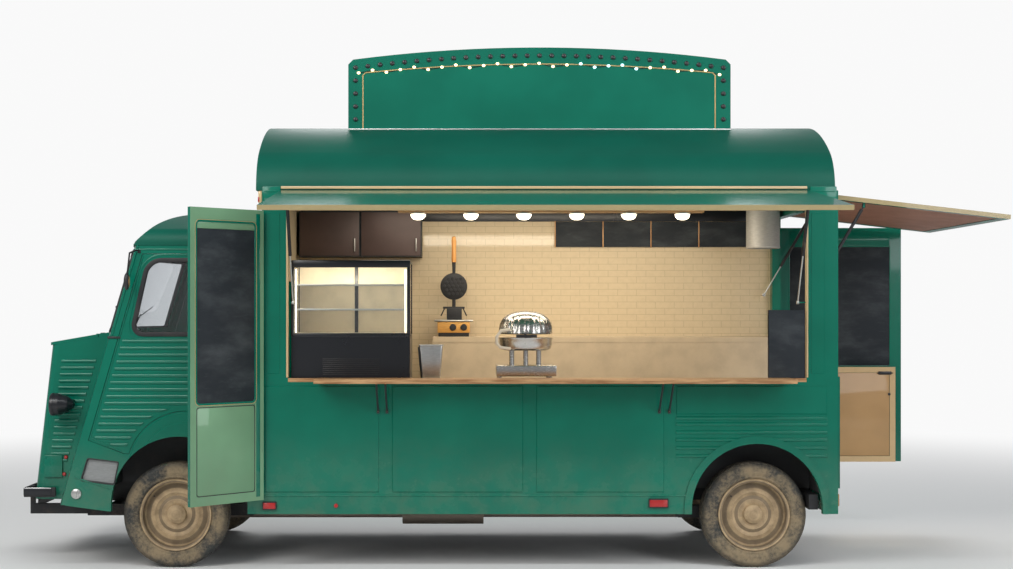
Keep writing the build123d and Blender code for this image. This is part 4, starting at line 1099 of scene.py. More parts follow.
    def ring(
        self,
        points: Sequence[Span],
        axis: Axis,
        span: Span,
        width: float,
        corner: float = 0,
        edge: float = 0,
        cuts: int = 0,
    ) -> "Shape":
        """Adds a frame that follows an outline, its width inward.

        Args:
            points: The outline's corners, in order.
            axis: The axis that the outline is drawn across.
            span: Where the depth starts and ends along the axis.
            width: The frame's width.
            corner: The radius of the outline's corners.
            edge: The radius of its rounded edges.
            cuts: How many times its long edges are divided, to follow a bow.

        Returns:
            This shape.
        """
        part = self.outline(points, axis, span[0], corner)
        middle = part.faces[:]
        bmesh.ops.inset_individual(part, faces=middle, thickness=width, use_even_offset=True)
        bmesh.ops.delete(part, geom=middle, context="FACES_ONLY")
        if cuts:
            long = [e for e in part.edges if e.calc_length() > 150]
            bmesh.ops.subdivide_edges(part, edges=long, cuts=cuts, use_grid_fill=True)
        self.thicken(part, axis, span[1] - span[0])
        self.round_edges(part, edge, 2, 50)
        return self.join(part)

    def track(self, points: Sequence[Triple], radius: float, steps: int = 8) -> "Shape":
        """Adds a round wire through the points, with a ball at each bend.

        Args:
            points: The wire's points, in order.
            radius: The wire's radius.
            steps: How many sides it has.

        Returns:
            This shape.
        """
        for start, end in zip(points, points[1:]):
            self.rod(start, end, radius, steps=steps)
        for at in points[1:-1]:
            self.ball(at, radius, steps=max(steps, 6))
        return self

    def swing(self, at: Triple, axis: Triple, degrees: float) -> "Shape":
        """Turns the whole shape about an axis through a point.

        Args:
            at: A point on the axis.
            axis: The axis' direction.
            degrees: How far it turns.

        Returns:
            This shape.
        """
        turn = Matrix.Rotation(math.radians(degrees), 3, Vector(axis))
        bmesh.ops.rotate(self.bm, cent=at, matrix=turn, verts=self.bm.verts)
        return self

    def other_side(self) -> "Shape":
        """Gives a new shape, mirrored to the truck's other side.

        Returns:
            The mirrored shape.
        """
        twin = Shape()
        part = self.bm.copy()
        bmesh.ops.scale(part, vec=(1, -1, 1), verts=part.verts)
        bmesh.ops.reverse_faces(part, faces=part.faces)
        return twin.join(part)

    def warp(self, move: Callable[[Vector], Vector]) -> "Shape":
        """Moves each point by a rule.

        Args:
            move: Gives a point's new place.

        Returns:
            This shape.
        """
        for vert in self.bm.verts:
            vert.co = move(vert.co)
        return self

    def finish(
        self, name: str, body: str, finish: Finish, slot: str = "", smooth: float = 35
    ) -> bpy.types.Object:
        """Makes the shape a piece of the truck.

        Args:
            name: The piece's name.
            body: The body that it rides on.
            finish: Its finish.
            slot: The record's slot that it would take its colour from; not used.
            smooth: Edges that turn by less than this look smooth.

        Returns:
            The finished piece, at the origin.
        """
        self.bm.transform(PLACE.matrix())
        mesh = bpy.data.meshes.new(name)
        self.bm.to_mesh(mesh)
        self.bm.free()
        mesh.shade_smooth()
        mesh.set_sharp_from_angle(angle=math.radians(smooth))
        piece = bpy.data.objects.new(name, mesh)
        bpy.context.scene.collection.objects.link(piece)
        piece.data.materials.append(finish.material())
        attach(piece, body)
        LOG.info("%s rides on %s", name, body)
        return piece


# The drawing's own sizes that the trims follow

BODY_HALF = 1000.0
GUTTER_Z = 2168.0
CAB_TOP_X = -241.0
CAB_RAKE = 0.29
FRONT_BOW = 148.0
BOW_R = (BODY_HALF**2 + FRONT_BOW**2) / (2 * FRONT_BOW)


def front_x(z: float) -> float:
    """Gives the front edge of the cab's side at a height."""
    return CAB_TOP_X - CAB_RAKE * (GUTTER_Z - z)


def bowed(at: Vector) -> Vector:
    """Lays a point drawn flat at X 0 on the cab's bowed, raked front."""
    face = front_x(at.z) - FRONT_BOW + BOW_R - math.sqrt(BOW_R**2 - at.y**2)
    return Vector((at.x + face, at.y, at.z))


def oblong(across: Span, up: Span) -> tuple[Span, ...]:
    """Gives the four corners of a rectangle from its two spans."""
    return ((across[0], up[0]), (across[1], up[0]), (across[1], up[1]), (across[0], up[1]))


def grown(points: Sequence[Span], by: float) -> list[Span]:
    """Moves each side of a convex outline outward.

    Args:
        points: The corners, in order.
        by: How far each side moves, inward if it is negative.

    Returns:
        The new corners.
    """
    flat = [Vector(p) for p in points]
    area = sum(a.x * b.y - b.x * a.y for a, b in zip(flat, flat[1:] + flat[:1]))
    turn = 1 if area > 0 else -1
    made = []
    for last, here, after in zip(flat[-1:] + flat[:-1], flat, flat[1:] + flat[:1]):
        one, two = (here - last).normalized(), (after - here).normalized()
        out_one, out_two = Vector((one.y, -one.x)) * turn, Vector((two.y, -two.x)) * turn
        share = by / (1 + out_one.dot(out_two))
        made.append(tuple(here + (out_one + out_two) * share))
    return made


# Sub-assemblies


@dataclass
class Wheels:
    """The four wheels: treaded tyres over the frame's own discs."""

    radius: float = 354.4
    half: float = 82.0
    seat: float = 233.0
    offset: float = 817.0
    tread_base: float = 346.5
    centre_z: float = 355.0
    valve_up: float = 120.0
    pitches: int = 56
    places: tuple[tuple[str, float, Side], ...] = (
        ("front_left", 0.0, Side.LEFT),
        ("front_right", 0.0, Side.RIGHT),
        ("rear_left", WHEELBASE, Side.LEFT),
        ("rear_right", WHEELBASE, Side.RIGHT),
    )
    rows: tuple[tuple[float, float, float, float], ...] = (
        (-66.0, -44.0, 0.0, 8.0),
        (-38.0, -16.0, 0.5, 5.0),
        (-11.0, 11.0, 0.0, -5.0),
        (16.0, 38.0, 0.5, 5.0),
        (44.0, 66.0, 0.0, 8.0),
    )

    def build(self) -> None:
        """Builds each tyre in place of the plain one."""
        for name, x, side in self.places:
            at = (x, side.value * self.offset, self.centre_z)
            centre = tuple(PLACE.point(*at))
            tyre = self.carcass(at, side)
            tyre.add(self.tread(at, side))
            rubber = TyreRubber(f"tyre_rubber_{name}", centre)
            made = tyre.finish(f"treaded_tyre_{name}", f"wheel_{name}", rubber, "tyre", 40)
            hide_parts(f"tyre_{name}")
            self.dress_node(f"rim_{name}", WheelDisc(f"wheel_disc_{name}", centre))
            z = self.centre_z + self.valve_up
            foot = (x - 150, at[1] + side.value * 24, z)
            valve = Shape().rod(foot, (x - 150, at[1] + side.value * 58, z + 4), 4, edge=1)
            valve.finish(f"valve_{name}", f"wheel_{name}", BLACK_RUBBER)

    def carcass(self, at: Triple, side: Side) -> Shape:
        """Turns the tyre's carcass with its side rings.

        Args:
            at: The wheel's centre.
            side: The side of the truck.

        Returns:
            The carcass.
        """
        half = (
            (self.seat, 58), (240, 66), (252, 73), (258, 76.5), (262, 74.5),
            (280, 79), (284, 80.6), (288, 79.6), (304, 81.4), (320, 80.2),
            (324, 81), (328, 79), (338, 73.5), (344, 67), (self.tread_base, 60),
        )
        profile = [(r, d) for r, d in half] + [(r, -d) for r, d in reversed(half)]
        return Shape().lathe(profile, at, Axis.Y, 96, side.value)

    def tread(self, at: Triple, side: Side) -> Shape:
        """Sets the rows of tread blocks round the carcass.

        Args:
            at: The wheel's centre.
            side: The side of the truck.

        Returns:
            The blocks.
        """
        turn = 360 / self.pitches
        length = 2 * math.pi * self.radius / self.pitches
        whole = Shape()
        for low, high, phase, skew in self.rows:
            part = bmesh.new()
            gap = length * 0.12
            x0, x1 = gap - length / 2, length / 2 - gap
            corners = [(x0 - skew, low), (x1 - skew, low), (x1 + skew, high), (x0 + skew, high)]
            verts = [part.verts.new((u, v, self.tread_base - 2)) for u, v in corners]
            part.faces.new(verts)
            Shape.thicken(part, Axis.Z, self.radius - self.tread_base + 2)
            for vert in part.verts:
                if abs(vert.co.y) > 60 and vert.co.z > self.tread_base:
                    vert.co.z -= 5
            Shape.round_edges(part, 1.6, 1, 50)
            bmesh.ops.translate(part, verts=part.verts, vec=(at[0], at[1], at[2]))
            turn_by = Matrix.Rotation(math.radians(turn * phase), 3, "Y")
            bmesh.ops.rotate(part, cent=at, matrix=turn_by, verts=part.verts)
            bmesh.ops.spin(
                part,
                geom=part.verts[:] + part.edges[:] + part.faces[:],
                cent=at,
                axis=(0, 1, 0),
                angle=math.radians(360 - turn),
                steps=self.pitches - 1,
                use_duplicate=True,
            )
            whole.join(part)
        return whole

    @staticmethod
    def dress_node(node: str, finish: Finish) -> None:
        """Gives a frame node its finish.

        Args:
            node: The node's name.
            finish: Its finish.
        """
        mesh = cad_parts[node].data
        mesh.materials.clear()
        mesh.materials.append(finish.material())


WINDOW = ((-270.0, 1575.0), (-160.0, 2065.0), (400.0, 2065.0), (400.0, 1575.0))
SCREEN = ((32.0, 1600.0), (915.0, 1600.0), (915.0, 2110.0), (32.0, 2110.0))
STEP = ((-610.0, 600.0), (-566.0, 745.0), (-360.0, 720.0), (-390.0, 572.0))


@dataclass
class CabTrim:
    """Rubbers, drip rails, the one mirror, steps, handles and wipers of the cab."""

    rubber: float = 30.0
    rail_z: tuple[Span, ...] = ((2136.0, 2143.0),)
    cab_rear: float = 596.0
    mirror: Triple = (-284.0, -1094.0, 1923.0)

    def build(self) -> None:
        """Builds the trims of both sides and of the front."""
        for side in Side:
            self.window(side)
            self.step(side)
            self.screen(side)
        self.mirror_set()
        self.rails()

    @staticmethod
    def sided(shape: Shape, side: Side) -> Shape:
        """Gives a left shape, or its mirrored twin for the right side."""
        return shape if side is Side.LEFT else shape.other_side()

    def window(self, side: Side) -> None:
        """Seats the window's rubber and presses the frame round it.

        Args:
            side: The side of the truck.
        """
        name = side.name.lower()
        seal = Shape().ring(grown(WINDOW, 17), Axis.Y, (-1006.5, -983.0), self.rubber, 97, 4)
        self.sided(seal, side).finish(f"window_rubber_{name}", f"cab_door_{name}", BLACK_RUBBER)
        bead = Shape().ring(grown(WINDOW, 44), Axis.Y, (-1003.5, -999.0), 12, 124, 2)
        self.sided(bead, side).finish(f"window_bead_{name}", f"cab_door_{name}", BODY)
        pull = Shape().rod((-430, -1003, 1552), (-350, -1003, 1552), 7, edge=2)
        pull.rod((-425, -999, 1552), (-425, -1004, 1552), 9).rod((-355, -999, 1552), (-355, -1004, 1552), 9)
        self.sided(pull, side).finish(f"door_pull_{name}", f"cab_door_{name}", DARK_PLASTIC)

    def mirror_set(self) -> None:
        """Hangs the one oval mirror from a hooked stay on the left front pillar."""
        x, y, z = self.mirror
        hook = ((-222, -998, 2131), (-236, -1040, 2131), (-268, -1082, 2112))
        stay = Shape().track((*hook, (x + 4, y + 3, z + 60), (x + 4, y + 3, z)), 6)
        stay.ball((x, y, z), 40, (0.5, 0.62, 1.45), 24).box((-232, -212), (-1004, -998), (2114, 2140), 2)
        stay.finish("mirror_left", "truck", DARK_PLASTIC)
        # The mirror's face is tan enamel: a painted reflection of what the mirror shows.
        glass = Shape().ball((x + 3, y, z), 36, (0.5, 0.6, 1.42), 24)
        glass.finish("mirror_glass_left", "truck", TAN_PAINT_AND_REFLECTION)

    def step(self, side: Side) -> None:
        """Lines the step's recess with a plain plate in a dark rim.

        Args:
            side: The side of the truck.
        """
        name = side.name.lower()
        rim = Shape().ring(grown(STEP, 5), Axis.Y, (-1003.0, -984.0), 8, 16, 1.5)
        self.sided(rim, side).finish(f"step_rim_{name}", "truck", DARK_PLASTIC)
        plate = Shape().slab(grown(STEP, -4), Axis.Y, (-986.0, -981.5), 12)
        self.sided(plate, side).finish(f"step_plate_{name}", "truck", STEP_STEEL)

    def screen(self, side: Side) -> None:
        """Seats a windscreen pane's rubber and lays a wiper before it.

        Args:
            side: The side of the truck.
        """
        name = side.name.lower()
        seal = Shape().ring(grown(SCREEN, 15), Axis.X, (-9.0, 14.0), 28, 42, 3, 12)
        blade = Shape().track(((-14, 160, 1625), (-13, 600, 1760)), 5)
        knee = ((-6, 320, 1560), (-20, 330, 1575), (-20, 410, 1702))
        arm = Shape().track(knee, 6).ball(knee[0], 15)
        for shape in (seal, blade, arm):
            shape.warp(bowed)
        if side is Side.LEFT:
            seal, blade, arm = seal.other_side(), blade.other_side(), arm.other_side()
        seal.finish(f"screen_rubber_{name}", "truck", BLACK_RUBBER)
        blade.add(arm).finish(f"wiper_{name}", "truck", DARK_PLASTIC)

    def rails(self) -> None:
        """Runs the lower bead round the cab's sides and front, and down the front pillars."""
        for number, (low, high) in enumerate(self.rail_z):
            rail = Shape()
            rail.slab(self.plan(low, 6, 1), Axis.Z, (low, high), edge=2.5)
            rail.finish(f"drip_rail_{number}", "truck", BODY)
        for side in Side:
            line = [(front_x(z) + 13, -1001.5, z) for z in (1562.0, 2168.0)]
            bead = self.sided(Shape().track(line, 5), side)
            bead.finish(f"pillar_bead_{side.name.lower()}", "truck", BODY)
            self.folds(side)

    def folds(self, side: Side) -> None:
        """Raises the door's folded front edge and the wing's crease under the step.

        Args:
            side: The side of the truck.
        """
        name = side.name.lower()
        line = [(front_x(z) + 66, -1000.5, z) for z in (2094.0, 886.0)]
        edge = Shape().track([*line, (-338.0, -1000.5, 790.0)], 5)
        self.sided(edge, side).finish(f"door_fold_{name}", f"cab_door_{name}", BODY)
        crease = Shape().track(((-652.0, -999.0, 620.0), (-395.0, -999.0, 536.0)), 6)
        self.sided(crease, side).finish(f"wing_fold_{name}", "truck", BODY)

    def plan(self, z: float, out: float, inner: float) -> list[Span]:
        """Gives a strip's outline in plan round the cab's sides and bowed front.

        Args:
            z: The height at which it is drawn.
            out: How far its outer face stands off the cab.
            inner: How far its inner face lies inside the cab's skin.

        Returns:
            The outline's points.
        """
        lines = []
        for step in (out, -inner):
            arc = []
            for i in range(33):
                y = (BODY_HALF + step) * (i / 16 - 1)
                chord = math.sqrt(BOW_R**2 - min(abs(y), BODY_HALF) ** 2)
                arc.append((front_x(z) - FRONT_BOW + BOW_R - chord - step, y))
            lines.append([(self.cab_rear - 4, arc[0][1]), *arc, (self.cab_rear - 4, arc[-1][1])])
        return lines[0] + lines[1][::-1]


@dataclass
class Nose:
    """Headlamps, bumper, covers and reflectors of the nose."""

    lamp: Triple = (-898.0, -655.0, 1085.0)
    side_y: float = -550.0
    cap_at: Triple = (-640.0, -1000.0, 510.0)
    bumper_x: float = -1107.0
    blade_z: Span = (452.0, 504.0)
    bead_z: Span = (497.0, 505.0)

    def build(self) -> None:
        """Builds the nose's fittings."""
        for side in Side:
            name = side.name.lower()
            rim = ((66, -1), (72, -4), (77, -1), (79, 8), (79, 20), (74, 21), (70, 6))
            ring = Shape().lathe(rim, self.lamp, Axis.X)
            CabTrim.sided(ring, side).finish(f"lamp_ring_{name}", "truck", CASE_BLACK, "dark_plastic")
            bowl = ((0, -0.8), (50, -0.8), (62, 3), (62, 8), (0, 8))
            dish = Shape().lathe(bowl, self.lamp, Axis.X)
            CabTrim.sided(dish, side).finish(f"lamp_dish_{name}", "truck", CHROME)
            pane = ((0, -9), (30, -8.2), (54, -5), (68, 0.5), (68, 3), (52, -1.8), (0, -3.5))
            lens = Shape().lathe(pane, self.lamp, Axis.X)
            CabTrim.sided(lens, side).finish(f"lamp_lens_{name}", "truck", CASE_GLASS)
            cover = Shape().box((-975, -849), (-566, self.side_y), (573, 726), 5)
            for z in (592, 707):
                for x in (-963, -861):
                    cover.rod((x, -566, z), (x, -569, z), 5)
            CabTrim.sided(cover, side).finish(f"nose_cover_{name}", "truck", BODY)
            marks = Shape()
            stud = ((0, -6), (9, -5), (13, 0), (13, 5), (0, 5))
            for x, z in ((-826, 712), (-838, 594)):
                marks.lathe(stud, (x, self.side_y - 10, z), Axis.Y, 20)
            CabTrim.sided(marks, side).finish(f"nose_reflector_{name}", "truck", RED_LENS)
            dome = ((0, -16), (26, -15), (33, -11), (35, -2), (35, 2), (0, 2))
            cap = Shape().lathe(dome, self.cap_at, Axis.Y, 32)
            cap.box((-646, -634), (-1021, -1014), (488, 532), 2)
            CabTrim.sided(cap, side).finish(f"cab_cap_{name}", "truck", ZINC)
        self.bumper()

    def bumper(self) -> None:
        """Faces the bumper with a black blade, a bright bead and rubber ends."""
        x = self.bumper_x
        blade = Shape().box((x - 2.5, x + 3), (-598, 598), self.blade_z, 2.5)
        bead = Shape().box((x - 2.9, x + 3), (-600, 600), self.bead_z, 2)
        ends = Shape()
        for side in (-1, 1):
            blade.box((x - 2, x + 190), sorted((side * 599, side * 602.5)), self.blade_z, 1.5)
            bead.box((x - 2.9, x + 190), sorted((side * 599, side * 604.5)), self.bead_z, 2)
            ends.box((x + 190, x + 222), sorted((side * 586, side * 604)), (446, 508), 5)
        blade.finish("bumper_blade", "truck", CASE_BLACK)
        bead.finish("bumper_bead", "truck", CHROME)
        ends.finish("bumper_ends", "truck", BLACK_RUBBER)


@dataclass
class Bodywork:
    """Eave line, end caps, edge strips, marker lamps and jamb trims of the kitchen body."""

    eave_x: Span = (723.0, 4229.0)
    eave_z: Span = (2541.0, 2560.0)
    caps_x: tuple[Span, ...] = ((600.0, 722.0), (4247.0, 4424.0))
    bands_z: tuple[Span, ...] = ((2462.0, 2476.0), (2520.0, 2534.0))
    rear_x: Span = (4454.0, 4459.0)
    rear_y: tuple[Span, ...] = ((-940.0, -900.0), (900.0, 940.0))
    jamb_z: Span = (1285.0, 2400.0)
    stay_top: Span = (-1221.0, 1254.3)
    stay_foot: Span = (-1016.0, 1065.5)
    stays_x: tuple[float, ...] = (1371.0, 1430.0, 3243.0, 3310.0)
    markers: tuple[tuple[float, float, float, float], ...] = ((604, 690, 408, 455), (3176, 3300, 422, 474))

    def build(self) -> None:
        """Builds the body's trims."""
        self.eaves()
        self.marker_lamps()
        self.rear_lamps()
        self.jambs()

    def eaves(self) -> None:
        """Lays the eave line, a tan painted highlight on the left and teal on the right, between its green
        end caps.
        """
        # The left eave strip is cream: a painted highlight of light reflected along the rounded eave.
        line = Shape().box(self.eave_x, (-1009, -990), self.eave_z, 4)
        line.finish("eave_line_left", "truck", CREAM_TRIM_AND_HIGHLIGHT)
        right = Shape().box((600.0, 4365.0), (990, 1009), self.eave_z, 4)
        right.finish("eave_line_right", "truck", BODY)
        caps = Shape()
        for x0, x1 in self.caps_x:
            caps.box((x0, x1), (-1013, -998), (2446, 2558), 5)
            for z in self.bands_z:
                caps.box((x0 + 12, x1 - 12), (-1016, -1012), z, 2)
        caps.finish("eave_caps", "truck", BODY)
        marker = Shape().box((571, 596), (-1003, -981), (2448, 2528), 4)
        marker.finish("corner_lamp", "truck", CREAM_TRIM_AND_HIGHLIGHT)
        lens = Shape().box((569, 580), (-1005, -990), (2455, 2488), 3)
        lens.finish("corner_lamp_lens", "truck", RED_LENS)

    def marker_lamps(self) -> None:
        """Sets red lenses in black surrounds along both sides."""
        for side in Side:
            name = side.name.lower()
            frames, lenses = Shape(), Shape()
            for x0, x1, z0, z1 in self.markers:
                frames.ring(grown(oblong((x0, x1), (z0, z1)), 4), Axis.Y, (-1015.0, -1000.0), 8, 7, 1.5)
                lenses.box((x0 + 3, x1 - 3), (-1016.5, -1011.5), (z0 + 3, z1 - 3), 2)
            lenses.rod((1090, -1000, 432), (1090, -1013, 432), 14, edge=2)
            CabTrim.sided(frames, side).finish(f"marker_frames_{name}", "truck", BLACK_RUBBER)
            CabTrim.sided(lenses, side).finish(f"marker_lenses_{name}", "truck", RED_LENS)

    def rear_lamps(self) -> None:
        """Sets the rear lamps' lenses over their bases."""
        red, amber = Shape(), Shape()
        for y0, y1 in self.rear_y:
            red.box(self.rear_x, (y0 + 2, y1 - 2), (422, 470), 2)
            amber.box(self.rear_x, (y0 + 2, y1 - 2), (472, 498), 2)
        red.finish("rear_lamp_red", "truck", RED_LENS)
        amber.finish("rear_lamp_amber", "truck", AMBER_LENS)

    def jambs(self) -> None:
        """Trims the serving opening's edges."""
        strips = Shape().box((758, 771), (-1006, -958), self.jamb_z, 3)
        strips.box((4224, 4236), (-1004, -958), self.jamb_z, 3)
        strips.box((770, 4225), (-1003, -958), (2399, 2408), 2)
        strips.finish("opening_strips", "truck", CREAM_TRIM_AND_HIGHLIGHT)
        stays = Shape()
        for x in self.stays_x:
            stays.rod((x, *self.stay_top), (x, *self.stay_foot), 6.5, steps=12)
            stays.box((x - 9, x + 9), (-1016, -1001), (1046, 1072), 2)
        stays.finish("shelf_stays", "truck", DARK_PLASTIC)


@dataclass
class Sign:
    """The roof sign's gold line, fairy lights and foot flange."""

    x: Span = (1117.0, 3837.0)
    face: float = -310.0
    line_x: Span = (1221.5, 3727.0)
    line_z: Span = (3421.0, 3484.0)
    foot_z: float = 3018.0
    lights: int = 27
    cool_ones: range = range(16, 21)
    sway: float = 13.0

    def arc_z(self, x: float, ends: float, peak: float) -> float:
        """Gives the height of a shallow arc across the sign.

        Args:
            x: The place along the sign.
            ends: The height at its ends.
            peak: The height at its middle.

        Returns:
            The height.
        """
        middle = sum(self.line_x) / 2
        share = (x - middle) / (self.line_x[1] - middle)
        return peak - (peak - ends) * share * share

    def build(self) -> None:
        """Builds the line, the lights and the flange."""
        x0, x1 = self.line_x
        arc = [(x0 + 18 + (x1 - x0 - 36) * i / 40, self.face - 1.5, 0.0) for i in range(41)]
        arc = [(x, y, self.arc_z(x, *self.line_z)) for x, y, _ in arc]
        ends = [(x0, self.face - 1.5, self.foot_z), (x0, self.face - 1.5, self.line_z[0] - 18)]
        others = [(x1, self.face - 1.5, self.line_z[0] - 18), (x1, self.face - 1.5, self.foot_z)]
        Shape().track([*ends, *arc, *others], 4.5, 6).finish("gold_line", "truck", GOLD)
        flange = Shape().box(self.x, (-336, self.face - 1), (3014, 3023), 2)
        flange.finish("sign_flange", "truck", BARE_STEEL)
        self.fairy_lights()

    def fairy_lights(self) -> None:
        """Hangs the string of small lamps below the row of bulbs."""
        spots = []
        for i in range(self.lights):
            x = self.line_x[0] - 30 + (self.line_x[1] - self.line_x[0] + 60) * i / (self.lights - 1)
            sag = self.sway * math.sin(i * 2.1) - 12
            spots.append((x, self.face - 9, self.arc_z(x, self.line_z[0] + 14, self.line_z[1] + 6) + sag))
        warm, cool = Shape(), Shape()
        for i, at in enumerate(spots):
            (cool if i in self.cool_ones else warm).ball(at, 9.5, (1.25, 0.8, 1.0), 12)
        warm.finish("fairy_lamps_warm", "truck", FAIRY, "lamp_glass")
        cool.finish("fairy_lamps_cool", "truck", COOL_FAIRY, "lamp_glass")
        wire = [(x, y + 6, z) for x, y, z in spots]
        Shape().track(wire, 2.2, 5).finish("fairy_wire", "truck", DARK_PLASTIC)


@dataclass
class MenuDoors:
    """Blackboards, panels and strips of the two tall menu doors."""

    hinge: Triple = (596.0, -1017.0, 0.0)
    open_by: float = 44.2
    face: float = -1047.0
    field_x: Span = (61.0, 521.0)
    lower_z: Span = (535.0, 1110.0)
    upper_z: Span = (1130.0, 2305.0)
    rear_x: Span = (4531.0, 5330.0)
    rear_z: Span = (1290.0, 2240.0)

    def build(self) -> None:
        """Builds both doors' faces."""
        self.front()
        self.rear()

    def placed(self, shape: Shape, name: str, finish: Finish) -> None:
        """Swings a piece drawn on the shut front door to where the door rests."""
        shape.swing(self.hinge, (0, 0, 1), self.open_by).finish(name, "menu_door_front", finish)

    def front(self) -> None:
        """Fills the front door's recesses and lays its strips."""
        y = self.face
        inside = (self.field_x[0] + 2, self.field_x[1] - 2)
        self.placed(Shape().box(inside, (y + 3, y + 7.9), (1132, 2258), 1.5), "front_board", BOARD)
        panels = Shape().box(inside, (y + 1.5, y + 7.9), (2260, 2303), 2)
        panels.box(inside, (y + 1, y + 7.9), (537, 1108), 2)
        self.placed(panels, "front_panels", SAGE_PAINT)
        # A dark ring round the lower panel: painted shade in the groove about it.
        groove = Shape().ring(oblong(self.field_x, self.lower_z), Axis.Y, (y - 0.6, y + 3), 5, 20)
        self.placed(groove, "front_groove", DARK_PLASTIC)
        upper = oblong(self.field_x, self.upper_z)
        frame_line = Shape().ring(grown(upper, 9), Axis.Y, (y - 1.5, y + 3), 13, 34, 1)
        strip = Shape().box((530, 562), (y - 1.2, y + 1), (500, 2370), 1)
        self.placed(frame_line.add(strip), "front_frame", BODY)
        # A thin gold ring round the board's frame: a painted highlight along the recess's edge.
        self.placed(Shape().ring(grown(upper, 12), Axis.Y, (y - 2.4, y), 3, 36), "front_gold_line", GOLD)
        end = Shape().box((13, 15), (y + 1, self.hinge[1] - 1), (477, 2393), 0.8)
        self.placed(end, "front_end_face", BODY)

    def rear(self) -> None:
        """Fills the rear door's board and header."""
        board = Shape().box((4533, 5328), (1006.8, 1013.9), (1292, 2238), 1.5)
        board.finish("rear_board", "menu_door_rear", BOARD)
        header = Shape().box((4533, 5328), (1004.5, 1007), (2244, 2362), 2)
        header.finish("rear_header", "menu_door_rear", BODY)
        outline = oblong(self.rear_x, self.rear_z)
        rim = Shape().ring(grown(outline, 6), Axis.Y, (1003.5, 1007), 9, 10, 1)
        rim.finish("rear_board_rim", "menu_door_rear", BODY)


@dataclass
class RearEnd:
    """Inner faces of the lower doors and the tailgate's lining."""

    tail_axis: Triple = (4441.0, 0.0, 2480.0)
    tail_open: float = 83.5
    door_z: Span = (582.0, 1238.0)
    ribs: int = 22
    rib_pitch: float = 76.7

    def build(self) -> None:
        """Builds the panels, the bolt and the tailgate's ribs."""
        panel = Shape().box((4496, 5303), (914.5, 922.5), self.door_z, 3)
        panel.finish("rear_door_panel_right", "rear_door_right", TAN_PAINT_AND_REFLECTION)
        left = Shape().box((4442.5, 4450.5), (-858, -51), self.door_z, 3)
        left.finish("rear_door_panel_left", "rear_door_left", TAN_PAINT_AND_REFLECTION)
        bolt = Shape().box((5215, 5318), (909.5, 913), (1224, 1250), 1)
        bolt.rod((5206, 906, 1237), (5326, 906, 1237), 5, edge=1)
        bolt.box((5290, 5304), (899, 907), (1231, 1243), 2)
        bolt.rod((5301, 914, 1070), (5301, 909, 1070), 11, edge=1)
        bolt.finish("slide_bolt", "rear_door_right", DARK_PLASTIC)
        x, _, z = self.tail_axis
        lining = Shape().box((x + 4.5, x + 8), (-843, 843), (1357, 2418), 1)
        for row in range(self.ribs):
            y = -806 + row * self.rib_pitch
            lining.box((x + 1.5, x + 5), (y - 27, y + 27), (1364, 2411), 1.4)
        lining.swing(self.tail_axis, (0, 1, 0), -self.tail_open)
        lining.finish("tailgate_lining", "tailgate", PINK_LINING)


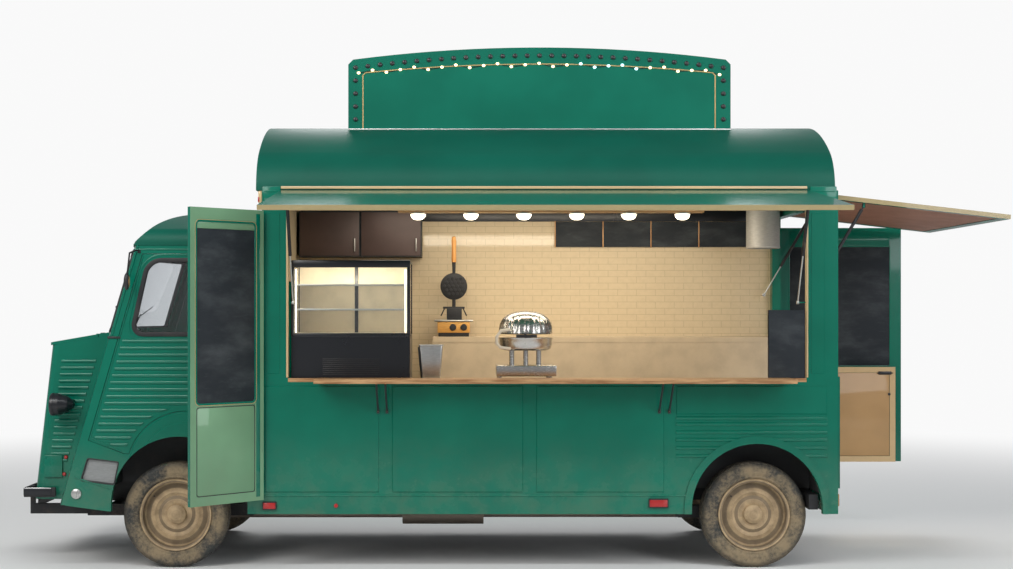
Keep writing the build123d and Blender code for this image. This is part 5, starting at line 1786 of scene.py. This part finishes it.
@dataclass
class Kitchen:
    """What stands and hangs in the kitchen: case, irons, bin, boards, duct and lamps."""

    shelf_z: float = 1255.0
    case_x: Span = (785.0, 1580.0)
    case_y: Span = (-940.0, -520.0)
    case_z: Span = (1570.0, 2066.0)
    lamps_x: tuple[float, ...] = (1634.0, 1989.0, 2345.0, 2700.0, 3050.0, 3410.0)
    iron: Span = (2362.0, -760.0)
    turner: Span = (1858.0, 725.0)
    duct_at: Span = (4222.0, 500.0)
    duct_top: float = 2900.0
    arch_radius: float = 1539.4
    arch_z: float = 1483.3
    board_pitch: float = 380.0
    rails_z: tuple[float, ...] = (1735.0, 1900.0)
    slots: int = 9
    slot_z: float = 1300.0
    slot_pitch: float = 13.0
    flutes: int = 24
    flute_depth: float = 0.03
    disc_z: float = 1920.0
    studs: int = 5
    bin_x: Span = (1640.0, 1800.0)
    bin_y: Span = (-900.0, -740.0)
    bin_z: Span = (1256.0, 1500.0)
    bin_foot: float = 0.74
    lamps_y: float = -912.0
    pan: tuple[Span, ...] = (
        (0, 1462), (150, 1462), (171, 1474), (178, 1500), (178, 1530), (184, 1540), (184, 1548), (0, 1548)
    )
    lid: tuple[Span, ...] = (
        (0, 1571), (172, 1571), (183, 1578), (180, 1590), (176, 1612),
        (170, 1646), (152, 1680), (118, 1706), (72, 1722), (0, 1730),
    )

    def build(self) -> None:
        """Builds the kitchen's pieces."""
        self.case()
        iron = self.round_iron()
        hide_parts("appliances")
        self.turning_iron()
        self.bin()
        self.boards()
        self.duct()
        self.domes()

    def case(self) -> None:
        """Lines the display case and lights it."""
        (x0, x1), (y0, y1), (z0, z1) = self.case_x, self.case_y, self.case_z
        lining = Shape().box((x0 + 12, x1 - 12), (y1 - 17, y1 - 14.5), (z0 + 2, z1 - 16), 0.5)
        lining.box((x0 + 10, x1 - 10), (y0 + 12, y1 - 16), (z0 + 0.5, z0 + 9), 2)
        lining.finish("case_lining", "truck", CASE_LINING)
        trim = Shape()
        for z in self.rails_z:
            trim.box((x0 + 12, x1 - 12), (y0 + 16, y0 + 21), (z - 3, z + 9), 1.5)
        for x in (x0 + 18, x1 - 22):
            trim.box((x, x + 4), (y0 + 10, y0 + 16), (z0 + 4, z1 - 18), 1)
        trim.finish("case_rails", "truck", BARE_STEEL)
        bars = Shape()
        for x in ((x0 - 3, x0 + 18), (x1 - 18, x1 + 3)):
            bars.box(x, (y0 - 4, y0 + 14), (z0 - 4, z1 + 2), 5)
        bars.box((x0 - 2, x1 + 2), (y0 - 5, y0 + 12), (z1 - 46, z1 + 3), 6)
        bars.box((x0 - 2, x1 + 2), (y0 - 6, y0 + 8), (z0 - 16, z0 + 10), 5)
        bars.box((x0 + 396, x0 + 420), (y1 - 30, y1 - 17), (z0 + 8, z1 - 20), 2)
        bars.finish("case_frame", "truck", CASE_BLACK)
        lit = Shape()
        for x in ((x0 + 26, x0 + 34), (x1 - 34, x1 - 27)):
            lit.box(x, (y0 + 12, y0 + 18), (z0 + 14, z1 - 60), 2)
        for x in ((x0 + 200, x0 + 290), (x1 - 150, x1 - 70)):
            lit.box(x, (y0 + 60, y0 + 110), (z1 - 24, z1 - 16), 3)
        lit.finish("case_lamps", "truck", LED)
        grille = Shape()
        for row in range(self.slots):
            z = self.slot_z + row * self.slot_pitch
            grille.box((x0 + 210, x0 + 590), (y0 - 2.5, y0 + 1), (z, z + 5), 1)
        grille.finish("case_grille", "truck", DARK_PLASTIC)

    def round_iron(self) -> bpy.types.Object:
        """Turns the round fluted iron on its posts and flat base.

        Returns:
            The iron's pieces.
        """
        x, y = self.iron
        base = Shape().box((x - 202, x + 202), (y - 172, y + 172), (1289, 1362), 6, 3)
        for dx, dy in ((-180, -150), (160, -150), (-180, 130), (160, 130)):
            base.rod((x + dx, y + dy, self.shelf_z), (x + dx, y + dy, 1290), 14)
        for dx in (-95, 0, 88):
            base.rod((x + dx, y - 20, 1360), (x + dx, y - 20, 1466), 17, steps=24)
        base.lathe(self.pan, (x, y, 0), Axis.Z, 64)
        top = Shape().lathe(self.lid, (x, y, 0), Axis.Z, 96)
        top.warp(lambda at: self.fluted(at, x, y))
        loop = (
            (110, 178, 1604), (172, 186, 1596), (200, 190, 1556),
            (200, 190, 1512), (176, 186, 1484), (108, 178, 1476),
        )
        handle = [(x - dx, y - dy, z) for dx, dy, z in loop]
        Shape().track(handle, 10, 12).finish("iron_handle", "truck", CREAM_TUBE)
        hinge = Shape().rod((x - 60, y - 168, 1558), (x + 60, y - 168, 1558), 9)
        hinge.rod((x - 8, y - 176, 1545), (x - 8, y - 176, 1575), 8)
        hinge.box((x - 70, x + 70), (y - 186, y - 178), (1549, 1570), 3)
        hinge.finish("iron_hinge", "truck", DARK_PLASTIC)
        return base.add(top).finish("round_iron", "truck", POLISHED, "bare_steel", 40)

    def fluted(self, at: Vector, x: float, y: float) -> Vector:
        """Presses flutes into the lid's side.

        Args:
            at: A point of the lid.
            x: The lid's middle along X.
            y: The lid's middle along Y.

        Returns:
            The point's new place.
        """
        run = Vector((at.x - x, at.y - y, 0))
        share = max(0.0, min(1.0, (1690 - at.z) / 50)) * max(0.0, min(1.0, (at.z - 1585) / 20))
        wave = 1 + self.flute_depth * share * math.cos(self.flutes * math.atan2(run.y, run.x))
        return Vector((x + run.x * wave, y + run.y * wave, at.z))

    def turning_iron(self) -> None:
        """Stands the turning iron with its raised round pan on the back counter."""
        x, y = self.turner
        base = Shape().box((x - 125, x + 125), (y - 130, y + 130), (1560, 1645), 6)
        base.finish("iron_base", "truck", COPPER)
        tray = Shape().box((x - 150, x + 150), (y - 140, y + 140), (1645, 1660), 5)
        tray.finish("iron_tray", "truck", BARE_STEEL)
        dark = Shape().box((x - 118, x + 118), (y - 120, y + 120), (1530, 1560), 2)
        dark.box((x - 55, x + 62), (y - 60, y + 40), (1660, 1752), 6)
        dark.box((x - 85, x + 85), (y - 30, y - 14), (1745, 1762), 4)
        for side in (-1, 1):
            dark.rod((x + side * 100, y - 22, 1690), (x + side * 70, y - 22, 1752), 5)
            knob_x = x - 6 + (side + 1) * 42
            dark.rod((knob_x, y - 130, 1602), (knob_x, y - 148, 1602), 27, 23, 28, 2)
        dark.rod((x, y, 1762), (x, y, 1817), 14).rod((x, y, 2020), (x, y, 2112), 12, 15)
        pan = ((0, -14), (92, -14), (102, -9), (105, 0), (102, 10), (92, 15), (0, 15))
        z = self.disc_z
        dark.lathe(pan, (x, y, z), Axis.Y, 48)
        for row in range(self.studs):
            for column in range(self.studs):
                u, v = (column - 2) * 32 + (row % 2) * 16 - 8, (row - 2) * 30
                if math.hypot(u, v) < 84:
                    dark.rod((x + u, y - 13, z + v), (x + u, y - 19, z + v), 14, 11, 6)
        dark.finish("turning_iron", "truck", CAST)
        wood = ((0, 2108), (17, 2108), (19, 2130), (17, 2200), (19, 2270), (15, 2305), (0, 2310))
        grip = Shape().lathe(wood, (x, y, 0), Axis.Z, 20)
        grip.finish("iron_grip", "truck", GRIP_WOOD)

    def bin(self) -> None:
        """Stands the steel bin beside the case."""
        walls = oblong(self.bin_x, self.bin_y)
        tub = Shape().ring(walls, Axis.Z, (1262.0, 1498.0), 6, 14, 2)
        tub.box((1642, 1798), (-898, -742), (1256, 1264), 3)
        tub.ring(grown(walls, 3), Axis.Z, (1490.0, 1500.0), 9, 16, 2)
        tub.warp(self.tapered).finish("bin", "truck", BARE_STEEL)
        side = Shape().box((1628, 1637), (-890, -750), (1262, 1486), 3)
        side.warp(self.tapered).finish("bin_side", "truck", CASE_BLACK)

    def tapered(self, at: Vector) -> Vector:
        """Draws the tub's foot in.

        Args:
            at: A point of the bin.

        Returns:
            The point's new place.
        """
        x, y = sum(self.bin_x) / 2, sum(self.bin_y) / 2
        low, high = self.bin_z
        share = self.bin_foot + (1 - self.bin_foot) * (at.z - low) / (high - low)
        return Vector((x + (at.x - x) * share, y + (at.y - y) * share, at.z))

    def boards(self) -> None:
        """Frames the small menu board and edges the wall boards."""
        outline = oblong((3972, 4216), (1283, 1735))
        rim = Shape().ring(grown(outline, 0.5), Axis.Y, (-1000.0, -978.0), 17, 0, 2)
        rim.finish("menu_board_frame", "truck", PALE_WOOD)
        edges = Shape()
        for i in range(5):
            x = 2659 + i * self.board_pitch
            edges.box((x - 4, x + 4), (938, 946), (2230, 2442), 1)
        edges.finish("wall_board_edges", "truck", PALE_WOOD)
        head = Shape().box((640, 4366), (955.5, 959.5), (2438, 2531), 1)
        head.finish("head_lining", "truck", CASE_BLACK)
        doors, pulls = Shape(), Shape()
        for x0, x1 in ((660, 1130), (1136, 1606)):
            doors.box((x0 + 6, x1 - 6), (656, 661), (2157, 2493), 1.5)
            pulls.rod((x1 - 40, 650, 2190), (x1 - 40, 650, 2290), 5, edge=1)
        doors.finish("cupboard_doors", "truck", CUPBOARD)
        pulls.finish("cupboard_pulls", "truck", BARE_STEEL)

    def duct(self) -> None:
        """Hangs the round duct from the roof at the rear."""
        lip = ((118, 2206), (126, 2206), (128, 2209), (128, 2222), (126.5, 2225))
        profile = (*lip, (126.5, self.duct_top), (118, self.duct_top))
        tube = Shape().lathe(profile, (*self.duct_at, 0), Axis.Z, 56).warp(self.under_roof)
        tube.finish("duct", "truck", GALVANISED)

    def under_roof(self, at: Vector) -> Vector:
        """Lifts a point of the duct's upper rim to the roof's arched lining.

        Args:
            at: A point of the duct.

        Returns:
            The point's new place.
        """
        if at.z > self.duct_top - 100:
            at.z = self.arch_z + math.sqrt(self.arch_radius**2 - at.y**2) - 1
        return at

    def domes(self) -> None:
        """Lights the row of domed lamps."""
        lit, rims = Shape(), Shape()
        for x in self.lamps_x:
            dome = ((0, 2340), (18, 2341), (34, 2347), (46, 2360), (50, 2376), (50, 2386), (0, 2386))
            lit.lathe(dome, (x, self.lamps_y, 0), Axis.Z, 28)
            rims.lathe(oblong((46, 54), (2378, 2390)), (x, self.lamps_y, 0), Axis.Z, 28)
        lit.finish("dome_lamps", "truck", LED, "lamp_glass")
        rims.finish("dome_rims", "truck", ZINC)


@dataclass
class Seats:
    """Two padded seats, blown up as cloth."""

    half: float = 215.0
    middle: tuple[float, ...] = (-700.0, 700.0)
    floor: float = 905.0
    lean: float = 11.0
    grain: float = 0.009
    pressure: float = 4.0

    def build(self) -> None:
        """Makes one cushion and one backrest, then sets both seats."""
        cushion = self.pad((-80.0, 380.0), (self.floor + 4, self.floor + 104))
        back = self.pad((2.0, 66.0), (8.0, 572.0))
        lean = Matrix.Rotation(math.radians(self.lean), 4, "Y")
        back.transform(Matrix.Translation((386, 0, self.floor + 13.7)) @ lean)
        for side, y in zip(("left", "right"), self.middle):
            for kind, mesh in (("cushion", cushion), ("backrest", back)):
                shape = Shape()
                shape.bm.from_mesh(mesh)
                bmesh.ops.translate(shape.bm, verts=shape.bm.verts, vec=(0, y, 0))
                piece = shape.finish(f"seat_{kind}_{side}", "truck", SEAT_CLOTH, "seat_cloth", 60)
        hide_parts("seats")
        piping = Shape()
        for y in self.middle:
            corners = ((-78.0, -1), (378.0, -1), (378.0, 1), (-78.0, 1), (-78.0, -1))
            points = [(x, y + (self.half - 3) * b, self.floor + 54.0) for x, b in corners]
            piping.track(points, 4, 6)
        piping.finish("seat_piping", "truck", DARK_PLASTIC)

    def pad(self, x: Span, z: Span) -> bpy.types.Mesh:
        """Blows up a box of foam as cloth, in metres, and gives it back in millimetres.

        Args:
            x: The foam's span along X.
            z: The foam's span along Z.

        Returns:
            The pad's mesh.
        """
        part = bmesh.new()
        size = Vector((x[1] - x[0], 2 * self.half - 8, z[1] - z[0]))
        middle = Vector((sum(x) / 2, 0, sum(z) / 2))
        bmesh.ops.create_cube(part, size=1, matrix=Matrix.Translation(middle) @ Matrix.Diagonal((*size, 1)))
        Shape.round_edges(part, 18, 4)
        mesh = bpy.data.meshes.new("pad")
        part.to_mesh(mesh)
        part.free()
        mesh.transform(Matrix.Scale(0.001, 4))
        soft = bpy.data.objects.new("pad", mesh)
        bpy.context.scene.collection.objects.link(soft)
        remesh = soft.modifiers.new("even", "REMESH")
        remesh.mode = "VOXEL"
        remesh.voxel_size = self.grain
        self.applied(soft)
        start = [vert.co.copy() for vert in soft.data.vertices]
        cloth = soft.modifiers.new("cloth", "CLOTH")
        cloth.settings.use_pressure = True
        cloth.settings.uniform_pressure_force = self.pressure
        cloth.settings.effector_weights.gravity = 0
        for frame_number in range(1, 15):
            bpy.context.scene.frame_set(frame_number)
        self.applied(soft)
        bpy.context.scene.frame_set(1)
        for vert, old in zip(soft.data.vertices, start):
            move = vert.co - old
            vert.co = old + move * min(1.0, self.grain / max(move.length, 1e-6))
            vert.co = old if vert.co.z < z[0] / 1000 + 0.002 and x[0] < 0 else vert.co
        made = soft.data.copy()
        bpy.data.objects.remove(soft)
        made.transform(Matrix.Scale(1000, 4))
        return made

    @staticmethod
    def applied(piece: bpy.types.Object) -> None:
        """Takes the evaluated mesh as the piece's own and clears its modifiers.

        Args:
            piece: The object.
        """
        graph = bpy.context.evaluated_depsgraph_get()
        mesh = bpy.data.meshes.new_from_object(piece.evaluated_get(graph))
        piece.modifiers.clear()
        piece.data = mesh


@dataclass(frozen=True)
class Lamp:
    """An area lamp: its place and aim in the drawing, its size in metres and its watts."""

    name: str
    at: Triple
    aim: Triple
    size: Span
    power: float
    colour: Triple


WARM = (1.0, 0.88, 0.7)
LAMPS = (
    Lamp("key", (-3600, -7600, 6400), (1900, -300, 1400), (5.0, 5.0), 400, (1.0, 0.97, 0.93)),
    Lamp("ridge", (1800, -4600, 5600), (1800, -900, 1500), (11.0, 0.3), 170, (0.94, 0.98, 1.0)),
    Lamp("fill", (8200, -6600, 4200), (2400, -300, 1400), (4.0, 4.0), 240, (0.95, 0.97, 1.0)),
    Lamp("back", (2600, 6500, 6500), (2200, 0, 1800), (6.0, 3.0), 260, (1.0, 1.0, 1.0)),
    Lamp("kitchen_front", (2520, -860, 2370), (2520, 300, 1300), (2.2, 0.12), 17, WARM),
    Lamp("kitchen_roof", (2500, 100, 2560), (2500, 120, 0), (2.6, 0.7), 24, (1.0, 0.88, 0.72)),
    Lamp("case", (1180, -880, 2030), (1180, -620, 1600), (0.66, 0.05), 6.5, (1.0, 0.9, 0.72)),
)


@dataclass
class Studio:
    """Floor, backdrop, lamps and the camera at the photograph's place."""

    eye: Triple = (1976.0, -11200.0, 1730.0)
    lens: float = 54.4
    shift: Span = (0.037, 0.0259)
    sky: Triple = (0.93, 0.96, 1.0)
    room: float = 0.34
    white: float = 0.95
    pale: Triple = (0.86, 0.86, 0.85)
    floor_radius: float = 60.0
    fade: Span = (4.5, 13.0)
    farthest: float = 200.0

    def build(self) -> None:
        """Builds the camera, floor, world and lamps."""
        self.camera()
        self.floor()
        self.world()
        self.lamps()

    def camera(self) -> None:
        """Sets the camera level, square to the serving side."""
        data = bpy.data.cameras.new("camera")
        data.lens = self.lens
        data.shift_x, data.shift_y = self.shift
        data.clip_end = self.farthest
        camera = bpy.data.objects.new("camera", data)
        camera.location = PLACE.point(*self.eye)
        camera.rotation_euler = (math.radians(90), 0, 0)
        bpy.context.scene.collection.objects.link(camera)
        bpy.context.scene.camera = camera

    def floor(self) -> None:
        """Lays a wide pale floor under the tyres."""
        part = bmesh.new()
        bmesh.ops.create_circle(part, cap_ends=True, segments=64, radius=self.floor_radius)
        mesh = bpy.data.meshes.new("floor")
        part.to_mesh(mesh)
        part.free()
        floor = bpy.data.objects.new("floor", mesh)
        bpy.context.scene.collection.objects.link(floor)
        graph = Graph("pale_floor")
        speckle = graph.noise(30, 3)
        tone = graph.mix(speckle, self.pale, shade(self.pale, 0.97))
        graph.dress(Base_Color=tone, Roughness=0.8)
        across, along = graph.axis("X"), graph.axis("Y")
        far = ((across * across + along * along) ** 0.5).rise(*self.fade)
        seen = Wire(graph, graph.node("ShaderNodeLightPath").outputs["Is Camera Ray"])
        white = graph.node("ShaderNodeEmission", {}, {"Color": (1.0, 1.0, 1.0), "Strength": self.white})
        mix = graph.node("ShaderNodeMixShader", {}, {0: far * seen})
        graph.tree.links.new(graph.shader.outputs[0], mix.inputs[1])
        graph.tree.links.new(white.outputs[0], mix.inputs[2])
        graph.tree.links.new(mix.outputs[0], graph.out.inputs[0])
        floor.data.materials.append(graph.material)

    def world(self) -> None:
        """Lights the room softly and shows white where nothing stands."""
        world = bpy.data.worlds.new("studio")
        world.use_nodes = True
        bpy.context.scene.world = world
        tree = world.node_tree
        tree.nodes.clear()
        out = tree.nodes.new("ShaderNodeOutputWorld")
        mix = tree.nodes.new("ShaderNodeMixShader")
        path = tree.nodes.new("ShaderNodeLightPath")
        seen = [path.outputs[k] for k in ("Is Camera Ray", "Is Transmission Ray")]
        share = seen[0]
        for other in seen[1:]:
            larger = tree.nodes.new("ShaderNodeMath")
            larger.operation = "MAXIMUM"
            tree.links.new(share, larger.inputs[0])
            tree.links.new(other, larger.inputs[1])
            share = larger.outputs[0]
        lights = ((self.sky, self.room), ((1.0, 1.0, 1.0), self.white))
        for slot, (colour, power) in enumerate(lights):
            light = tree.nodes.new("ShaderNodeBackground")
            light.inputs[0].default_value = (*colour, 1)
            light.inputs[1].default_value = power
            tree.links.new(light.outputs[0], mix.inputs[slot + 1])
        tree.links.new(share, mix.inputs[0])
        tree.links.new(mix.outputs[0], out.inputs[0])
        bpy.context.scene.view_settings.view_transform = "Standard"

    def lamps(self) -> None:
        """Hangs the soft lamps and the warm lamps of the kitchen."""
        for row in LAMPS:
            data = bpy.data.lights.new(row.name, "AREA")
            data.shape = "RECTANGLE"
            data.size, data.size_y = row.size
            data.energy = row.power
            data.color = row.colour
            lamp = bpy.data.objects.new(row.name, data)
            lamp.location = PLACE.point(*row.at)
            run = PLACE.point(*row.aim) - PLACE.point(*row.at)
            lamp.rotation_euler = run.to_track_quat("-Z", "Y").to_euler()
            bpy.context.scene.collection.objects.link(lamp)


def dress_frame() -> None:
    """Gives every carried-over node its finish."""
    for finish, nodes in NODE_FINISHES.items():
        for node in nodes.split():
            Wheels.dress_node(node, finish)


def main() -> None:
    """Builds the truck's looks in order and reports each piece."""
    logging.basicConfig(level=logging.INFO, format="%(message)s")
    Studio().build()
    dress_frame()
    for kind in (Wheels, CabTrim, Nose, Bodywork, Sign, MenuDoors, RearEnd, Kitchen, Seats):
        kind().build()
        LOG.info("%s done", kind.__name__)


if __name__ == "__main__":
    main()
